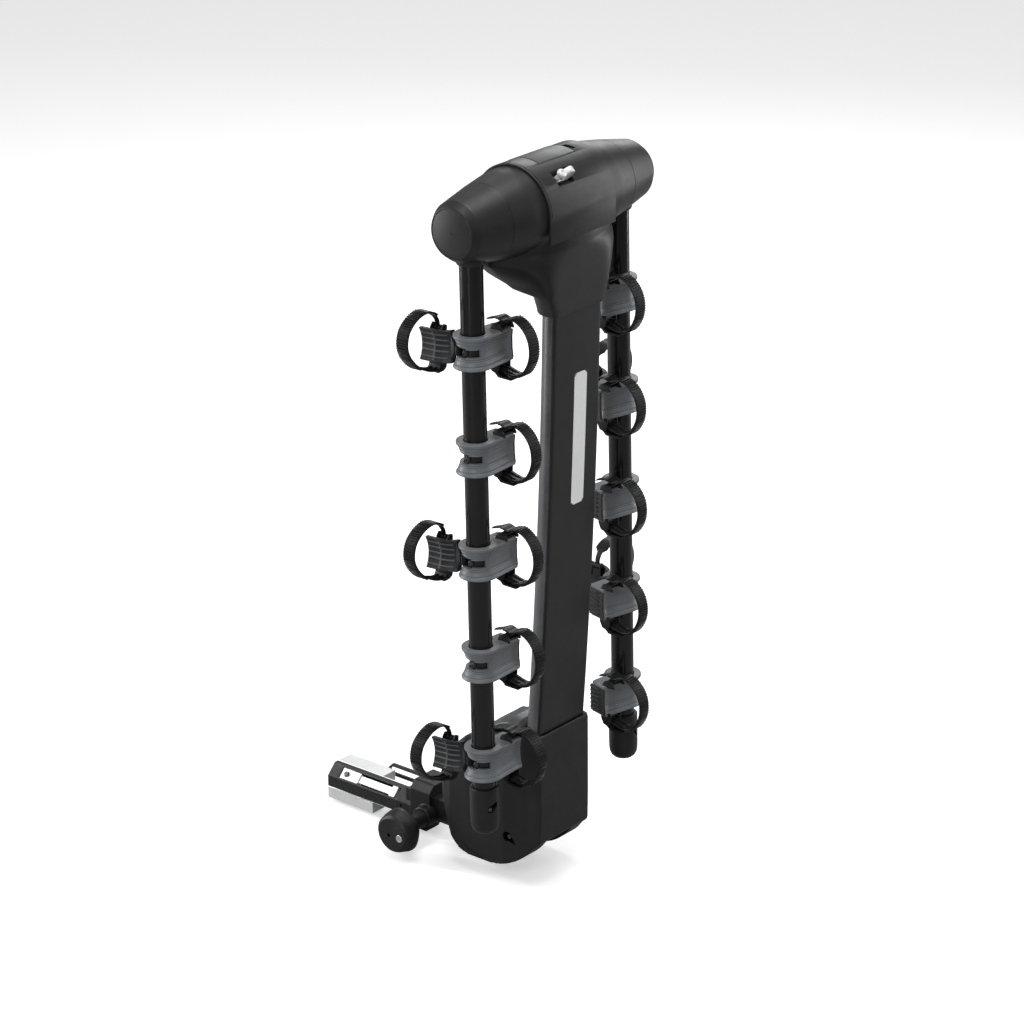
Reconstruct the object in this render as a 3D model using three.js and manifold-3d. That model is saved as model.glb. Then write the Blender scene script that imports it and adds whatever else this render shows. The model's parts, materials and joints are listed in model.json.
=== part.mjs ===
// Hitch-mounted bike carrier: a tilting mast with two fold-down arms, five cradles on each.
// Millimetres. +X points rearward from the vehicle, +Y to the right seen from behind, +Z up.
// The part's origin is the centre of the shank's end face. The dimensions below count X from the
// hitch-pin axis, which lies 30 mm behind that face.
import * as THREE from 'three';
import { mergeVertices } from 'three/addons/utils/BufferGeometryUtils.js';
import Module from 'manifold-3d';

const wasm = await Module();
wasm.setup();

// ---------------------------------------------------------------- driving dimensions
const GAP = 0.3;                    // clearance left between neighbouring pieces
const SHANK = 50.8;                 // 2 inch square shank
const SHANK_FRONT = -30;            // shank end that goes into the receiver
const SHANK_REAR = 128;             // where the shank meets the rear beam
const BEAM = { y: 25, z0: -8.5, z1: 35.5, end: 326 };
const CORNER_CUT = 15.5;            // 45 degree corner cuts of the shank
const WEDGE_CUT = { y: 28.4, z: 18.4, end: 57 };
const WINDOW = { x0: -11, x1: 101, width: 17, depth: 14 };

const PIVOT = { x: 306, z: 85.5, r: 8 };
const BASE_R = 93;                  // rounded base, concentric with the tilt pivot
const BASE = { y: 64, front: 394, top: 207, frontBottom: 39, wall: 3 };
const HEEL = { swell: 11, angle: -124, spread: 19 };  // the base's lower rear bulges past its circle

const LEVER_HALF = 33;              // half width of the tilt lever

const HUB = { x: 361, z: 959 };
const HUB_LENGTH = 190;             // half length over the end discs
const SEAM_Y = 126;                 // fixed housing ends, turning ends begin
const SLEEVE = { y: 68, r: 64.5, wall: 2.8 };

const MAST = {
  halfWidth: 48.5, depth: 42, top: 901, bottom: 183,
  front: 56.2, bend: 833, slope: 0.0155, bow: 4.66e-5,
};
const MAST_STEPS = 8;
const COVER = 4;                    // thickness of the mast's front cover
const TEE = { bottom: -140, front: 60.5, breast: 62.3, halfWidth: 53 };  // hub housing's neck

const ARM_Y = 153;
const ARM_LEAN = 0.021;             // radians, lower ends swing rearward
const TUBE_R = 15.9;
const TUBE_WALL = 2.4;
const TUBE = { top: -24, bottom: -806 };
const CAP = { top: -792, bottom: -860, r: 20.4 };

const CRADLES = 5;
const FIRST_CRADLE = -166;
const PITCH = 147;
const TOE = { left: 3, right: 14 };  // degrees each cradle is turned toward the vehicle
const CRADLE = { half: 22.5, lip: 28, waist: 20.5, inner: 52, hollow: 37.5 };
const RING = { r0: 16.7, r1: 23.5, half: 6.2, slotR: 24.8, slotHalf: 7 };
const STRAP = { width: 20, thickness: 3, y: 40.6 };
const PAD = { x0: -74, x1: -30, lip: -20, back: -11, half: 22.5, hollow: 45, depth: 5 };

// ---------------------------------------------------------------- colours
const BLACK_PLASTIC = [0x2b2c2e, 0.55, 0.0];
const HUB_PLASTIC = [0x2a2b2d, 0.42, 0.0];
const BLACK_PAINT = [0x1e1f21, 0.35, 0.3];
const MAST_PAINT = [0x77797c, 0.35, 0.5];
const PAD_GREY = [0x5c6268, 0.8, 0.0];
const STRAP_RUBBER = [0x222325, 0.7, 0.0];
const LEVER_GREY = [0x6f7378, 0.3, 0.1];
const BARE_METAL = [0xd8dadc, 0.35, 0.9];
const STEEL = [0x8c8f93, 0.4, 0.9];

// ---------------------------------------------------------------- solids
// Shared vertices are merged and zero-area triangles dropped, so the surface is closed.
function closed(geometry) {
  const bare = geometry.clone();
  for (const name of Object.keys(bare.attributes)) {
    if (name !== 'position') bare.deleteAttribute(name);
  }
  const merged = mergeVertices(bare, 1e-3);
  const index = merged.index.array;
  const kept = [];
  for (let i = 0; i < index.length; i += 3) {
    const [a, b, c] = [index[i], index[i + 1], index[i + 2]];
    if (a !== b && b !== c && c !== a) kept.push(a, b, c);
  }
  merged.setIndex(kept);
  return signedVolume(merged) < 0 ? flipped(merged) : merged;
}

function signedVolume(geometry) {
  const position = geometry.attributes.position;
  const index = geometry.index.array;
  const [a, b, c] = [new THREE.Vector3(), new THREE.Vector3(), new THREE.Vector3()];
  let volume = 0;
  for (let i = 0; i < index.length; i += 3) {
    a.fromBufferAttribute(position, index[i]);
    b.fromBufferAttribute(position, index[i + 1]);
    c.fromBufferAttribute(position, index[i + 2]);
    volume += a.dot(b.cross(c)) / 6;
  }
  return volume;
}

function flipped(geometry) {
  const index = Array.from(geometry.index.array);
  for (let i = 0; i < index.length; i += 3) {
    [index[i + 1], index[i + 2]] = [index[i + 2], index[i + 1]];
  }
  geometry.setIndex(index);
  return geometry;
}

function solid(geometry) {
  const { attributes, index } = closed(geometry);
  const vertProperties = new Float32Array(attributes.position.array);
  const triVerts = new Uint32Array(index.array);
  return new wasm.Manifold(new wasm.Mesh({ numProp: 3, vertProperties, triVerts }));
}

function surface(body) {
  const mesh = body.getMesh();
  const geometry = new THREE.BufferGeometry();
  geometry.setAttribute('position', new THREE.BufferAttribute(mesh.vertProperties, 3));
  geometry.setIndex(new THREE.BufferAttribute(mesh.triVerts, 1));
  return geometry;
}

function join(...pieces) {
  return surface(pieces.map(solid).reduce((whole, piece) => whole.add(piece)));
}

function cut(piece, ...tools) {
  return surface(tools.map(solid).reduce((left, tool) => left.subtract(tool), solid(piece)));
}

function common(piece, ...others) {
  return surface(others.map(solid).reduce((left, other) => left.intersect(other), solid(piece)));
}

function block(x0, x1, y0, y1, z0, z1) {
  const geometry = new THREE.BoxGeometry(x1 - x0, y1 - y0, z1 - z0);
  return geometry.translate((x0 + x1) / 2, (y0 + y1) / 2, (z0 + z1) / 2);
}

// A cylinder or cone along an axis, centred at (a, b) on the two other axes in X, Y, Z order.
function rod(axis, from, to, radius, [a, b], endRadius = radius, segments = 20) {
  const geometry = new THREE.CylinderGeometry(endRadius, radius, to - from, segments);
  const middle = (from + to) / 2;
  if (axis === 'x') return geometry.rotateZ(-Math.PI / 2).translate(middle, a, b);
  if (axis === 'y') return geometry.translate(a, middle, b);
  return geometry.rotateX(Math.PI / 2).translate(a, b, middle);
}

const SWEEPS = {
  x: [[0, 1, 0], [0, 0, 1], [1, 0, 0]],
  y: [[1, 0, 0], [0, 0, 1], [0, -1, 0]],
  z: [[1, 0, 0], [0, 1, 0], [0, 0, 1]],
};

// A prism along an axis; the outline's points lie on the two other axes in X, Y, Z order.
function prism(outline, axis, from, to, steps = 1) {
  const shape = outline instanceof THREE.Shape
    ? outline : new THREE.Shape(outline.map(([a, b]) => new THREE.Vector2(a, b)));
  const options = { depth: to - from, bevelEnabled: false, curveSegments: 12, steps };
  const geometry = new THREE.ExtrudeGeometry(shape, options);
  const [u, v, w] = SWEEPS[axis].map((direction) => new THREE.Vector3(...direction));
  geometry.applyMatrix4(new THREE.Matrix4().makeBasis(u, v, w));
  const start = w.clone().multiplyScalar(axis === 'y' ? -to : from);
  return geometry.translate(start.x, start.y, start.z);
}

// A turned piece about the Y axis; the profile is a list of [radius, y] from end to end.
function turned(profile, segments = 24) {
  return new THREE.LatheGeometry(profile.map(([r, y]) => new THREE.Vector2(r, y)), segments);
}

// Points on an arc, angles in degrees counted from the first axis.
function arc(cx, cy, radius, from, to, steps) {
  return Array.from({ length: steps + 1 }, (_, i) => {
    const angle = THREE.MathUtils.degToRad(from + (to - from) * i / steps);
    return [cx + radius * Math.cos(angle), cy + radius * Math.sin(angle)];
  });
}

// A flat band of even thickness along a smooth line through the given points.
function bandOutline(points, thickness, steps) {
  const line = new THREE.SplineCurve(points.map(([a, b]) => new THREE.Vector2(a, b)));
  const [outer, inner] = [[], []];
  for (let i = 0; i <= steps; i++) {
    const p = line.getPointAt(i / steps);
    const t = line.getTangentAt(i / steps);
    outer.push([p.x - t.y * thickness / 2, p.y + t.x * thickness / 2]);
    inner.unshift([p.x + t.y * thickness / 2, p.y - t.x * thickness / 2]);
  }
  return [...outer, ...inner];
}

function mirrored(geometry) {
  return closed(closed(geometry).scale(1, -1, 1));
}

// ---------------------------------------------------------------- assembly
const carrier = new THREE.Group();
carrier.position.x = -SHANK_FRONT;

function finish([color, roughness, metalness]) {
  return new THREE.MeshStandardMaterial({ color, roughness, metalness });
}

function add(name, geometry, look, parent = carrier) {
  const mesh = new THREE.Mesh(closed(geometry), finish(look));
  mesh.name = name;
  parent.add(mesh);
  return mesh;
}

// ---------------------------------------------------------------- hitch tongue
// The square shank loses two opposite corners to 45 degree cuts and two to the wedges.
function shankSection(clearance = 0) {
  const h = SHANK / 2 + clearance;
  const half = [
    [-h, h - CORNER_CUT], [-h + CORNER_CUT, h],
    [h - WEDGE_CUT.y, h], [h, h - WEDGE_CUT.z],
  ];
  return [...half, ...half.map(([y, z]) => [-y, -z])].reverse();
}

function beamSection(clearance = 0) {
  const [y, z0, z1] = [BEAM.y + clearance, BEAM.z0 - clearance, BEAM.z1 + clearance];
  const chamfer = 14;
  return [[-y, z1], [-y, z0 + chamfer], [-y + chamfer, z0], [y - chamfer, z0], [y, z0 + chamfer], [y, z1]];
}

// A bar lying on the shank's slanted face: x range, width across, and depth range below the face.
function slantedBar(x0, x1, width, deep, shallow) {
  const faceDistance = (SHANK - CORNER_CUT) / Math.SQRT2;
  const bar = block(x0, x1, -width / 2, width / 2, faceDistance - deep, faceDistance - shallow);
  return bar.rotateX(Math.PI / 4);
}

const KNOB = { x: 168, z: 8.5, face: -110, shaftR: 8, collarR: 12 };
const LOCK = { x: KNOB.x + 14, z: KNOB.z - 2.5, r: 5.6, deep: 12 };

function hitchBar() {
  const bracket = [
    [236, BEAM.z1 - 1], [PIVOT.x - 34, PIVOT.z - 8],
    ...arc(PIVOT.x, PIVOT.z, 33, 190, -10, 12), [BEAM.end, BEAM.z1 - 1],
  ];
  const body = join(
    prism(shankSection(), 'x', SHANK_FRONT, SHANK_REAR),
    prism(beamSection(), 'x', SHANK_REAR - 6, BEAM.end),
    prism(bracket, 'y', -22, 22),
  );
  return cut(
    body,
    slantedBar(WINDOW.x0, WINDOW.x1, WINDOW.width, WINDOW.depth, -5),
    rod('y', -30, 30, PIVOT.r + GAP, [PIVOT.x, PIVOT.z]),
    rod('y', -BEAM.y - 1, -4, KNOB.shaftR + GAP, [KNOB.x, KNOB.z]),
  );
}

function receiverCollar() {
  const h = SHANK / 2 + 5;
  const c = 17;
  const octagon = [
    [-h, h - c], [-h, c - h], [c - h, -h], [h - c, -h],
    [h, c - h], [h, h - c], [h - c, h], [c - h, h],
  ];
  const arch = [[-31, -4], [31, -4], [31, 42], [20, 53], [-20, 53], [-31, 42]];
  return cut(
    join(
      prism(octagon.reverse(), 'x', 104, 150),
      prism(arch, 'x', 134, 172),
      rod('y', -44, -27, 16, [KNOB.x - 2, KNOB.z], 15),
    ),
    prism(shankSection(GAP), 'x', 90, SHANK_REAR + GAP),
    prism(beamSection(GAP), 'x', SHANK_REAR - 6 - GAP, 200),
    rod('y', -60, -5, KNOB.collarR + GAP, [KNOB.x, KNOB.z]),
  );
}

function wedge(upper) {
  const h = SHANK / 2;
  const outline = [
    [h - WEDGE_CUT.y + 1.6, h], [h - 0.2, h - WEDGE_CUT.z + 1.4], [h, h - WEDGE_CUT.z + 1.6], [h, h],
  ];
  const points = outline.map(([y, z]) => [upper ? y : -y, upper ? z : -z]);
  return prism(points, 'x', SHANK_FRONT, WEDGE_CUT.end);
}

function drawRod() {
  const body = join(
    slantedBar(-9.5, 24, 16, 12, 1),
    slantedBar(22, 88, 11, 11, 2.5),
    slantedBar(86, 96, 16, 12, 0),
  );
  const pocket = rod('z', -10, 10, 4.4, [0, 0]).translate(0, 0, (SHANK - CORNER_CUT) / Math.SQRT2);
  return cut(body, pocket.rotateX(Math.PI / 4));
}

function snapPin() {
  const face = (SHANK - CORNER_CUT) / Math.SQRT2;
  return rod('z', face - 6, face + 1.5, 4, [0, 0], 3.6).rotateX(Math.PI / 4);
}

function tensionKnob() {
  const { face, shaftR, collarR } = KNOB;
  const body = turned([
    [0, face], [24, face], [28, face + 3.5], [30.5, face + 9], [33, face + 18],
    [31, face + 26], [23, face + 32], [collarR, face + 34], [collarR, -27],
    [shaftR, -27], [shaftR, -6], [0, -6],
  ], 20).translate(KNOB.x, 0, KNOB.z);
  return cut(body, rod('y', face - 2, face + LOCK.deep + 1, LOCK.r + 0.4, [LOCK.x, LOCK.z]));
}

function tetherLoop() {
  const [x0, x1, z0, z1, r] = [38, 134, 13, 27, 6];
  const path = new THREE.CatmullRomCurve3([
    [x1, z1], [x0 + r, z1], [x0, z1 - r], [x0, z0 + r], [x0 + r, z0], [x1, z0],
  ].map(([x, z]) => new THREE.Vector3(x, 34.6, z)), false, 'catmullrom', 0.1);
  const section = new THREE.Shape().absarc(0, 0, 3, 0, Math.PI * 2);
  const options = { extrudePath: path, steps: 18, curveSegments: 3, bevelEnabled: false };
  return new THREE.ExtrudeGeometry(section, options);
}

// ---------------------------------------------------------------- mast and base
// Front face of the mast at a height above the origin: upright at the top, bowed below.
function mastFront(z) {
  const drop = Math.max(0, MAST.bend - z);
  return HUB.x + MAST.front - MAST.slope * drop - MAST.bow * drop * drop;
}

function bowed(geometry) {
  const position = geometry.attributes.position;
  for (let i = 0; i < position.count; i++) {
    position.setX(i, position.getX(i) + mastFront(position.getZ(i)));
  }
  return geometry;
}

// D-shaped section behind the front cover; x = 0 is the mast's front face.
function mastOutline(inset) {
  const w = MAST.halfWidth - inset;
  const side = -COVER - GAP - inset;
  const shoulder = -10;
  const back = MAST.depth - inset + shoulder;
  const curve = Array.from({ length: 11 }, (_, i) => {
    const angle = Math.PI * (0.5 + i / 10);
    return new THREE.Vector2(shoulder + back * Math.cos(angle), w * Math.sin(angle));
  });
  return [new THREE.Vector2(side, w), ...curve, new THREE.Vector2(side, -w)];
}

function mastTube() {
  const shape = new THREE.Shape(mastOutline(0));
  shape.holes.push(new THREE.Path(mastOutline(3)));
  return bowed(prism(shape, 'z', MAST.bottom, MAST.top, MAST_STEPS));
}

function mastCover() {
  const w = MAST.halfWidth + 0.7;
  const outline = [[-COVER, w - 1.5], [-COVER, 1.5 - w], [-1.6, -w], [0, 1.8 - w], [0, w - 1.8], [-1.6, w]];
  return bowed(prism(outline.reverse(), 'z', MAST.bottom, MAST.top, MAST_STEPS));
}

function mastFoot() {
  const cheek = [
    ...arc(PIVOT.x, PIVOT.z, 24, -150, -20, 8), [388 - 8, 150], [388 - 8, 182.5], [342, 182.5], [318, 150],
  ];
  const cheeks = [-33, 26].map((y) => prism(cheek, 'y', y, y + 7));
  const bridge = block(344, 380, -33, 33, 156, 182.5);
  return cut(join(...cheeks, bridge), rod('y', -40, 40, PIVOT.r + GAP, [PIVOT.x, PIVOT.z]));
}

function tiltPivotBolt() {
  const centre = [PIVOT.x, PIVOT.z];
  return join(
    rod('y', -40, 40, PIVOT.r, centre, PIVOT.r, 20),
    rod('y', -42, -34, 13, centre, 13, 6),
    rod('y', 34, 42, 13, centre, 13, 6),
  );
}

// Lower edge of the base about the pivot; angles in degrees.
function heel(radius, from, to, steps) {
  return Array.from({ length: steps + 1 }, (_, i) => {
    const angle = from + (to - from) * i / steps;
    const swell = HEEL.swell * Math.exp(-(((angle - HEEL.angle) / HEEL.spread) ** 2));
    const turn = THREE.MathUtils.degToRad(angle);
    return [PIVOT.x + (radius + swell) * Math.cos(turn), PIVOT.z + (radius + swell) * Math.sin(turn)];
  });
}

// Side view of the base: front wall, round heel concentric with the pivot, sloping top.
function baseOutline(inset) {
  const r = BASE_R - inset;
  const front = BASE.front - inset;
  const low = THREE.MathUtils.radToDeg(Math.asin((BASE.frontBottom - PIVOT.z) / BASE_R));
  const lift = inset * 1.1;
  return [
    [front, BASE.top - lift], [front, BASE.frontBottom + inset / 2],
    ...heel(r, low - 4, -232, 26),
    [268, 177 - lift], [352, 196 - lift], [372, BASE.top - lift],
  ].reverse();
}

// Plan view of one side: the front narrows to the mast, the cheek bulges beside the pivot.
function basePlan(inset) {
  const y = BASE.y - inset;
  return [
    [BASE.front + 5, 0], [BASE.front + 5, 52 - inset], [BASE.front - 6, 55.5 - inset], [366, 60 - inset],
    [335, y], [268, y], [236, y - 3], [219, y - 9], [205, y - 16], [205, 0],
  ];
}

function baseShell(side) {
  const plan = (inset) => basePlan(inset).map(([x, y]) => [x, side * y]);
  const outer = common(
    prism(baseOutline(0), 'y', -BASE.y, BASE.y),
    prism(plan(0), 'z', -20, 220),
  );
  const inner = common(
    prism(baseOutline(BASE.wall), 'y', -BASE.y, BASE.y),
    prism(plan(BASE.wall).map(([x, y]) => [x, y === 0 ? -side * 5 : y]), 'z', -20, 220),
  );
  const centreLine = side * GAP / 2;
  const half = block(150, 450, Math.min(centreLine, side * 90), Math.max(centreLine, side * 90), -60, 260);
  return common(cut(
    outer,
    inner,
    block(150, BASE.front - BASE.wall, -27.5, 27.5, -30, 66),
    block(150, 300, -36, 36, -30, 260),
    block(298, 347, -36, 36, 150, 260),
    block(345, BASE.front - BASE.wall, -49.8, 49.8, 175, 260),
  ), half);
}

function tiltLever() {
  const outline = [
    [271, 166], [280, 166], [288, 178], [304, 186], [341, 189], [341, 200],
    [322, 207], [304, 205], [288, 199], [276, 188],
  ];
  return prism(outline, 'y', -LEVER_HALF, LEVER_HALF);
}

function latchPin() {
  return rod('z', PIVOT.z + 33.6, PIVOT.z + 64, 5, [PIVOT.x, 0]);
}

// ---------------------------------------------------------------- hub
// Radius of the barrel at a distance from the middle.
function barrelRadius(y) {
  const stations = [[68, 61.2], [90, 58.5], [SEAM_Y, 52.5]];
  if (y <= stations[0][0]) return stations[0][1];
  for (let i = 1; i < stations.length; i++) {
    const [[y0, r0], [y1, r1]] = [stations[i - 1], stations[i]];
    if (y <= y1) return r0 + (r1 - r0) * (y - y0) / (y1 - y0);
  }
  return stations.at(-1)[1];
}

function barrel(inset) {
  const half = [0, 68, 90, SEAM_Y - inset].map((y) => [barrelRadius(y) - inset, y]);
  const profile = [...half.slice(1).reverse().map(([r, y]) => [r, -y]), ...half.slice(1)];
  return turned([[0, inset - SEAM_Y], ...profile, [0, SEAM_Y - inset]], 28);
}

// The neck below the barrel: a flared front view crossed with a tapering side view.
function neck(inset, bottom) {
  const flare = new THREE.QuadraticBezierCurve(
    new THREE.Vector2(TEE.halfWidth - inset, TEE.bottom),
    new THREE.Vector2(66 - inset, -107 + inset),
    new THREE.Vector2(SEAM_Y - inset, -58 + inset),
  ).getPoints(6).map((p) => [p.x, p.y]);
  const right = [[TEE.halfWidth - inset, bottom], ...flare, [SEAM_Y - inset, -20]];
  const front = [...right.map(([y, z]) => [-y, z]).reverse(), ...right].reverse();
  const breast = TEE.breast - inset;
  const back = MAST.front - MAST.depth - 8 + inset;
  const sideView = [
    [TEE.front - inset, bottom], [TEE.front - inset, TEE.bottom],
    [breast, -40], [breast - 1.2, -14], [breast - 6, 5],
    [-50 + inset, 0], [-52 + inset, -30], [-34 + inset, -84 + inset], [-6 + inset, -124],
    [back, TEE.bottom], [back, bottom],
  ];
  return common(prism(front, 'x', -80, 80), prism(sideView, 'y', -SEAM_Y, SEAM_Y));
}

function hubHousing(frontHalf) {
  const body = join(barrel(0), neck(0, TEE.bottom));
  const hollow = join(barrel(3), neck(3, TEE.bottom - 20));
  const housing = cut(
    body, hollow,
    rod('y', -150, 150, 13.6, [0, 0]),
    block(36, 60, -36, -4, 33, 58),
  );
  const [x0, x1] = frontHalf ? [GAP / 2, 90] : [-90, -GAP / 2];
  const half = block(x0, x1, -200, 200, -200, 90);
  return common(housing, half).translate(HUB.x, 0, HUB.z);
}

// Angles are counted from straight up, positive toward the rear of the vehicle.
function rollBand(r0, r1, from, to, steps) {
  const outer = arc(0, 0, r1, 90 - from, 90 - to, steps);
  const inner = arc(0, 0, r0, 90 - to, 90 - from, steps);
  return [outer, inner];
}

function hubSleeve() {
  const inner = SLEEVE.r - SLEEVE.wall;
  const [outerArc, innerArc] = rollBand(inner, SLEEVE.r, -112, 88, 24);
  const skirtLow = -34;
  const outline = [
    ...outerArc, [SLEEVE.r + 0.6, skirtLow], [TEE.breast + GAP, skirtLow], ...innerArc,
  ];
  const lever = [...arc(0, 0, 80, 90 + 36, 90 - 19.5, 8), [0, 0]];
  return cut(
    prism(outline, 'y', -SLEEVE.y, SLEEVE.y),
    prism(lever, 'y', -37, 37),
    block(30, 62, -36, -4, 33, 60),
  ).translate(HUB.x, 0, HUB.z);
}

function foldLever() {
  const [outer, inner] = rollBand(SLEEVE.r - SLEEVE.wall + 0.1, SLEEVE.r + 0.5, -35, 18.6, 10);
  return prism([...outer, ...inner], 'y', -36.4, 36.4).translate(HUB.x, 0, HUB.z);
}

function cableHook() {
  const plate = join(
    block(-6, 6, -11, 11, -3, 2),
    block(-3, 3, -11, -6, 0, 15),
    block(-3, 3, -11, 8, 11, 15),
    block(-3, 3, 4, 8, 4, 15),
  );
  return plate.rotateY(THREE.MathUtils.degToRad(45)).translate(HUB.x + 41, -20, HUB.z + 41);
}

// ---------------------------------------------------------------- arms, built for the left side
// Local frame: the arm's axis is Z, its hub axis is Y through the origin, +Y points to the mast.
const arms = new THREE.Group();
arms.position.set(HUB.x, 0, HUB.z);
arms.rotation.y = -ARM_LEAN;
carrier.add(arms);

function armGroup(side) {
  const group = new THREE.Group();
  group.position.y = side * ARM_Y;
  arms.add(group);
  return group;
}

function armHub() {
  const out = ARM_Y - HUB_LENGTH;
  const local = (y) => ARM_Y - y;
  const body = join(
    turned([
      [0, out], [34, out], [41, out + 9.5],
      [barrelRadius(SEAM_Y), local(SEAM_Y + GAP)], [0, local(SEAM_Y + GAP)],
    ], 28),
    rod('z', -49, -30, 19.5, [0, 0], 20, 24),
  );
  return cut(
    body,
    rod('z', -60, TUBE.top + 1, TUBE_R + GAP, [0, 0], TUBE_R + GAP, 24),
    rod('y', -32, 40, 13 + GAP, [0, 0]),
  );
}

function armTube() {
  const ring = new THREE.Shape().absarc(0, 0, TUBE_R, 0, Math.PI * 2);
  ring.holes.push(new THREE.Path().absarc(0, 0, TUBE_R - TUBE_WALL, 0, Math.PI * 2, true));
  return prism(ring, 'z', TUBE.bottom, TUBE.top);
}

function endCap() {
  const { top, bottom, r } = CAP;
  const cap = turned([
    [0, bottom], [12, bottom + 0.5], [19, bottom + 8], [r, bottom + 18],
    [r, top - 1], [r - 1.4, top], [0, top],
  ], 20).rotateX(Math.PI / 2);
  return cut(cap, rod('z', TUBE.bottom - 2, top + 6, TUBE_R + GAP, [0, 0], TUBE_R + GAP, 24));
}

function crossShaft() {
  return rod('y', -183, 183, 13, [0, 0], 13, 24);
}

// Plan of a cradle: round about the tube, a straight saddle front, a back that thins inward.
function cradlePlan() {
  const { lip, inner } = CRADLE;
  return [
    [lip, 0], [lip - 1.5, inner - 3], [lip - 4, inner], [-2, inner], [-5, inner - 4], [-7, 40],
    ...arc(0, 0, lip, 128, 360, 13),
  ];
}

function sector(radius, from, to, half, inner = 0) {
  const steps = 6;
  const core = inner ? arc(0, 0, inner, to, from, steps) : [[0, 0]];
  const outline = [...arc(0, 0, radius, from, to, steps), ...core];
  return prism(outline, 'z', -half, half);
}

// The saddle groove runs straight along the front and turns round the outer end.
function saddleGroove() {
  const r = CRADLE.hollow;
  const centre = CRADLE.waist + r;
  const straight = rod('y', -0.5, CRADLE.inner + 6, r, [centre, 0], r, 30);
  const circle = Array.from({ length: 7 }, (_, i) => {
    const angle = Math.PI * (0.78 + 0.44 * i / 6);
    return new THREE.Vector2(centre + r * Math.cos(angle), r * Math.sin(angle));
  });
  const rim = [circle.at(-1), circle[0]].map(({ y }) => new THREE.Vector2(centre - 6, y));
  const ring = new THREE.LatheGeometry([...circle, ...rim, circle[0].clone()], 20).rotateX(Math.PI / 2);
  return join(straight, common(ring, block(-80, 80, -80, 0, -40, 40)));
}

const GROOVE = saddleGroove();

// The cradle turns by its toe angle; the slots about the tube keep their place.
function cradle(toe) {
  const { half } = CRADLE;
  const body = join(
    cut(prism(cradlePlan(), 'z', -half, half), GROOVE),
    block(10, 25, 31.5, 49.5, half - 2, half + 7),
    block(8, 20, 31.5, 49.5, -half - 6, 2 - half),
  ).rotateZ(THREE.MathUtils.degToRad(toe));
  return cut(
    body,
    rod('z', -60, 60, TUBE_R + 0.5, [0, 0], TUBE_R + 0.5, 14),
    sector(40, -115, -21, 5.5),
    sector(RING.slotR, 84, 283, RING.slotHalf),
    sector(40, 125, 241, RING.slotHalf),
  );
}

function cradleStrap() {
  const half = CRADLE.half;
  const line = [
    [8, -half - 9], [20, -half - 10.5], [32, -half - 14], [42, -half - 15], [54, -33], [63, -22],
    [68, -10], [69.3, 2], [67.5, 14], [62, 25], [53, 34], [42, half + 16.5], [32, half + 15.5],
    [24, half + 12.5], [14, half + 15], [2, half + 11.5], [-8, half + 8.5],
  ];
  const [y0, y1] = [STRAP.y - STRAP.width / 2, STRAP.y + STRAP.width / 2];
  return prism(bandOutline(line, STRAP.thickness, 17), 'y', y0, y1);
}

// The cage swings about the arm on a split ring; its saddle faces outward, away from the mast.
function swayCage() {
  const { x0, x1, lip, back, half, hollow, depth } = PAD;
  const groove = rod('x', x0 - 5, x1 + 5, hollow, [lip - hollow + depth, 0], hollow, 28);
  const stem = [[-36, -11.5], [-33, -18], [-19, -13], [-22, -2], [-24, 2]];
  return join(
    sector(RING.r1, 128, 246, RING.half, RING.r0),
    prism(stem, 'z', -RING.half, RING.half),
    cut(block(x0, x1, lip, back, -half, half), groove),
    block(-61, -41, back - 5, back + 3, -half - 3, 2 - half),
  );
}

function swayStrap() {
  const line = [
    [-13, -29.5], [-27, -30.5], [-45, -25], [-63, -14], [-76, 1], [-81, 17],
    [-76, 35], [-60, 48], [-40, 52.5], [-23, 47], [-13, 36.5], [-9.5, 26],
  ];
  const middle = (PAD.x0 + PAD.x1) / 2 + 1;
  const [x0, x1] = [middle - STRAP.width / 2, middle + STRAP.width / 2];
  return prism(bandOutline(line, STRAP.thickness, 14), 'x', x0, x1);
}

const PIECES = {
  hub: armHub(), tube: armTube(), cap: endCap(), strap: cradleStrap(),
  cage: swayCage(), cageStrap: swayStrap(),
};

// The left arm carries cages at cradles 1, 3 and 5, the right arm at 2 and 4.
function buildArm(name, side) {
  const group = armGroup(side);
  const handed = (geometry) => (side < 0 ? geometry : mirrored(geometry));
  const saddle = cradle(TOE[name]);
  add(`${name}_arm_hub`, handed(PIECES.hub), HUB_PLASTIC, group);
  add(`${name}_arm_tube`, handed(PIECES.tube), BLACK_PAINT, group);
  add(`${name}_end_cap`, handed(PIECES.cap), BLACK_PLASTIC, group);
  for (let i = 1; i <= CRADLES; i++) {
    const level = FIRST_CRADLE - PITCH * (i - 1);
    const raise = (geometry) => handed(geometry).clone().translate(0, 0, level);
    add(`${name}_cradle_${i}`, raise(saddle), PAD_GREY, group);
    add(`${name}_strap_${i}`, raise(PIECES.strap), STRAP_RUBBER, group);
    if ((i % 2 === 1) === (side < 0)) {
      add(`${name}_sway_cage_${i}`, raise(PIECES.cage), BLACK_PLASTIC, group);
      add(`${name}_sway_strap_${i}`, raise(PIECES.cageStrap), STRAP_RUBBER, group);
    }
  }
}

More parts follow.
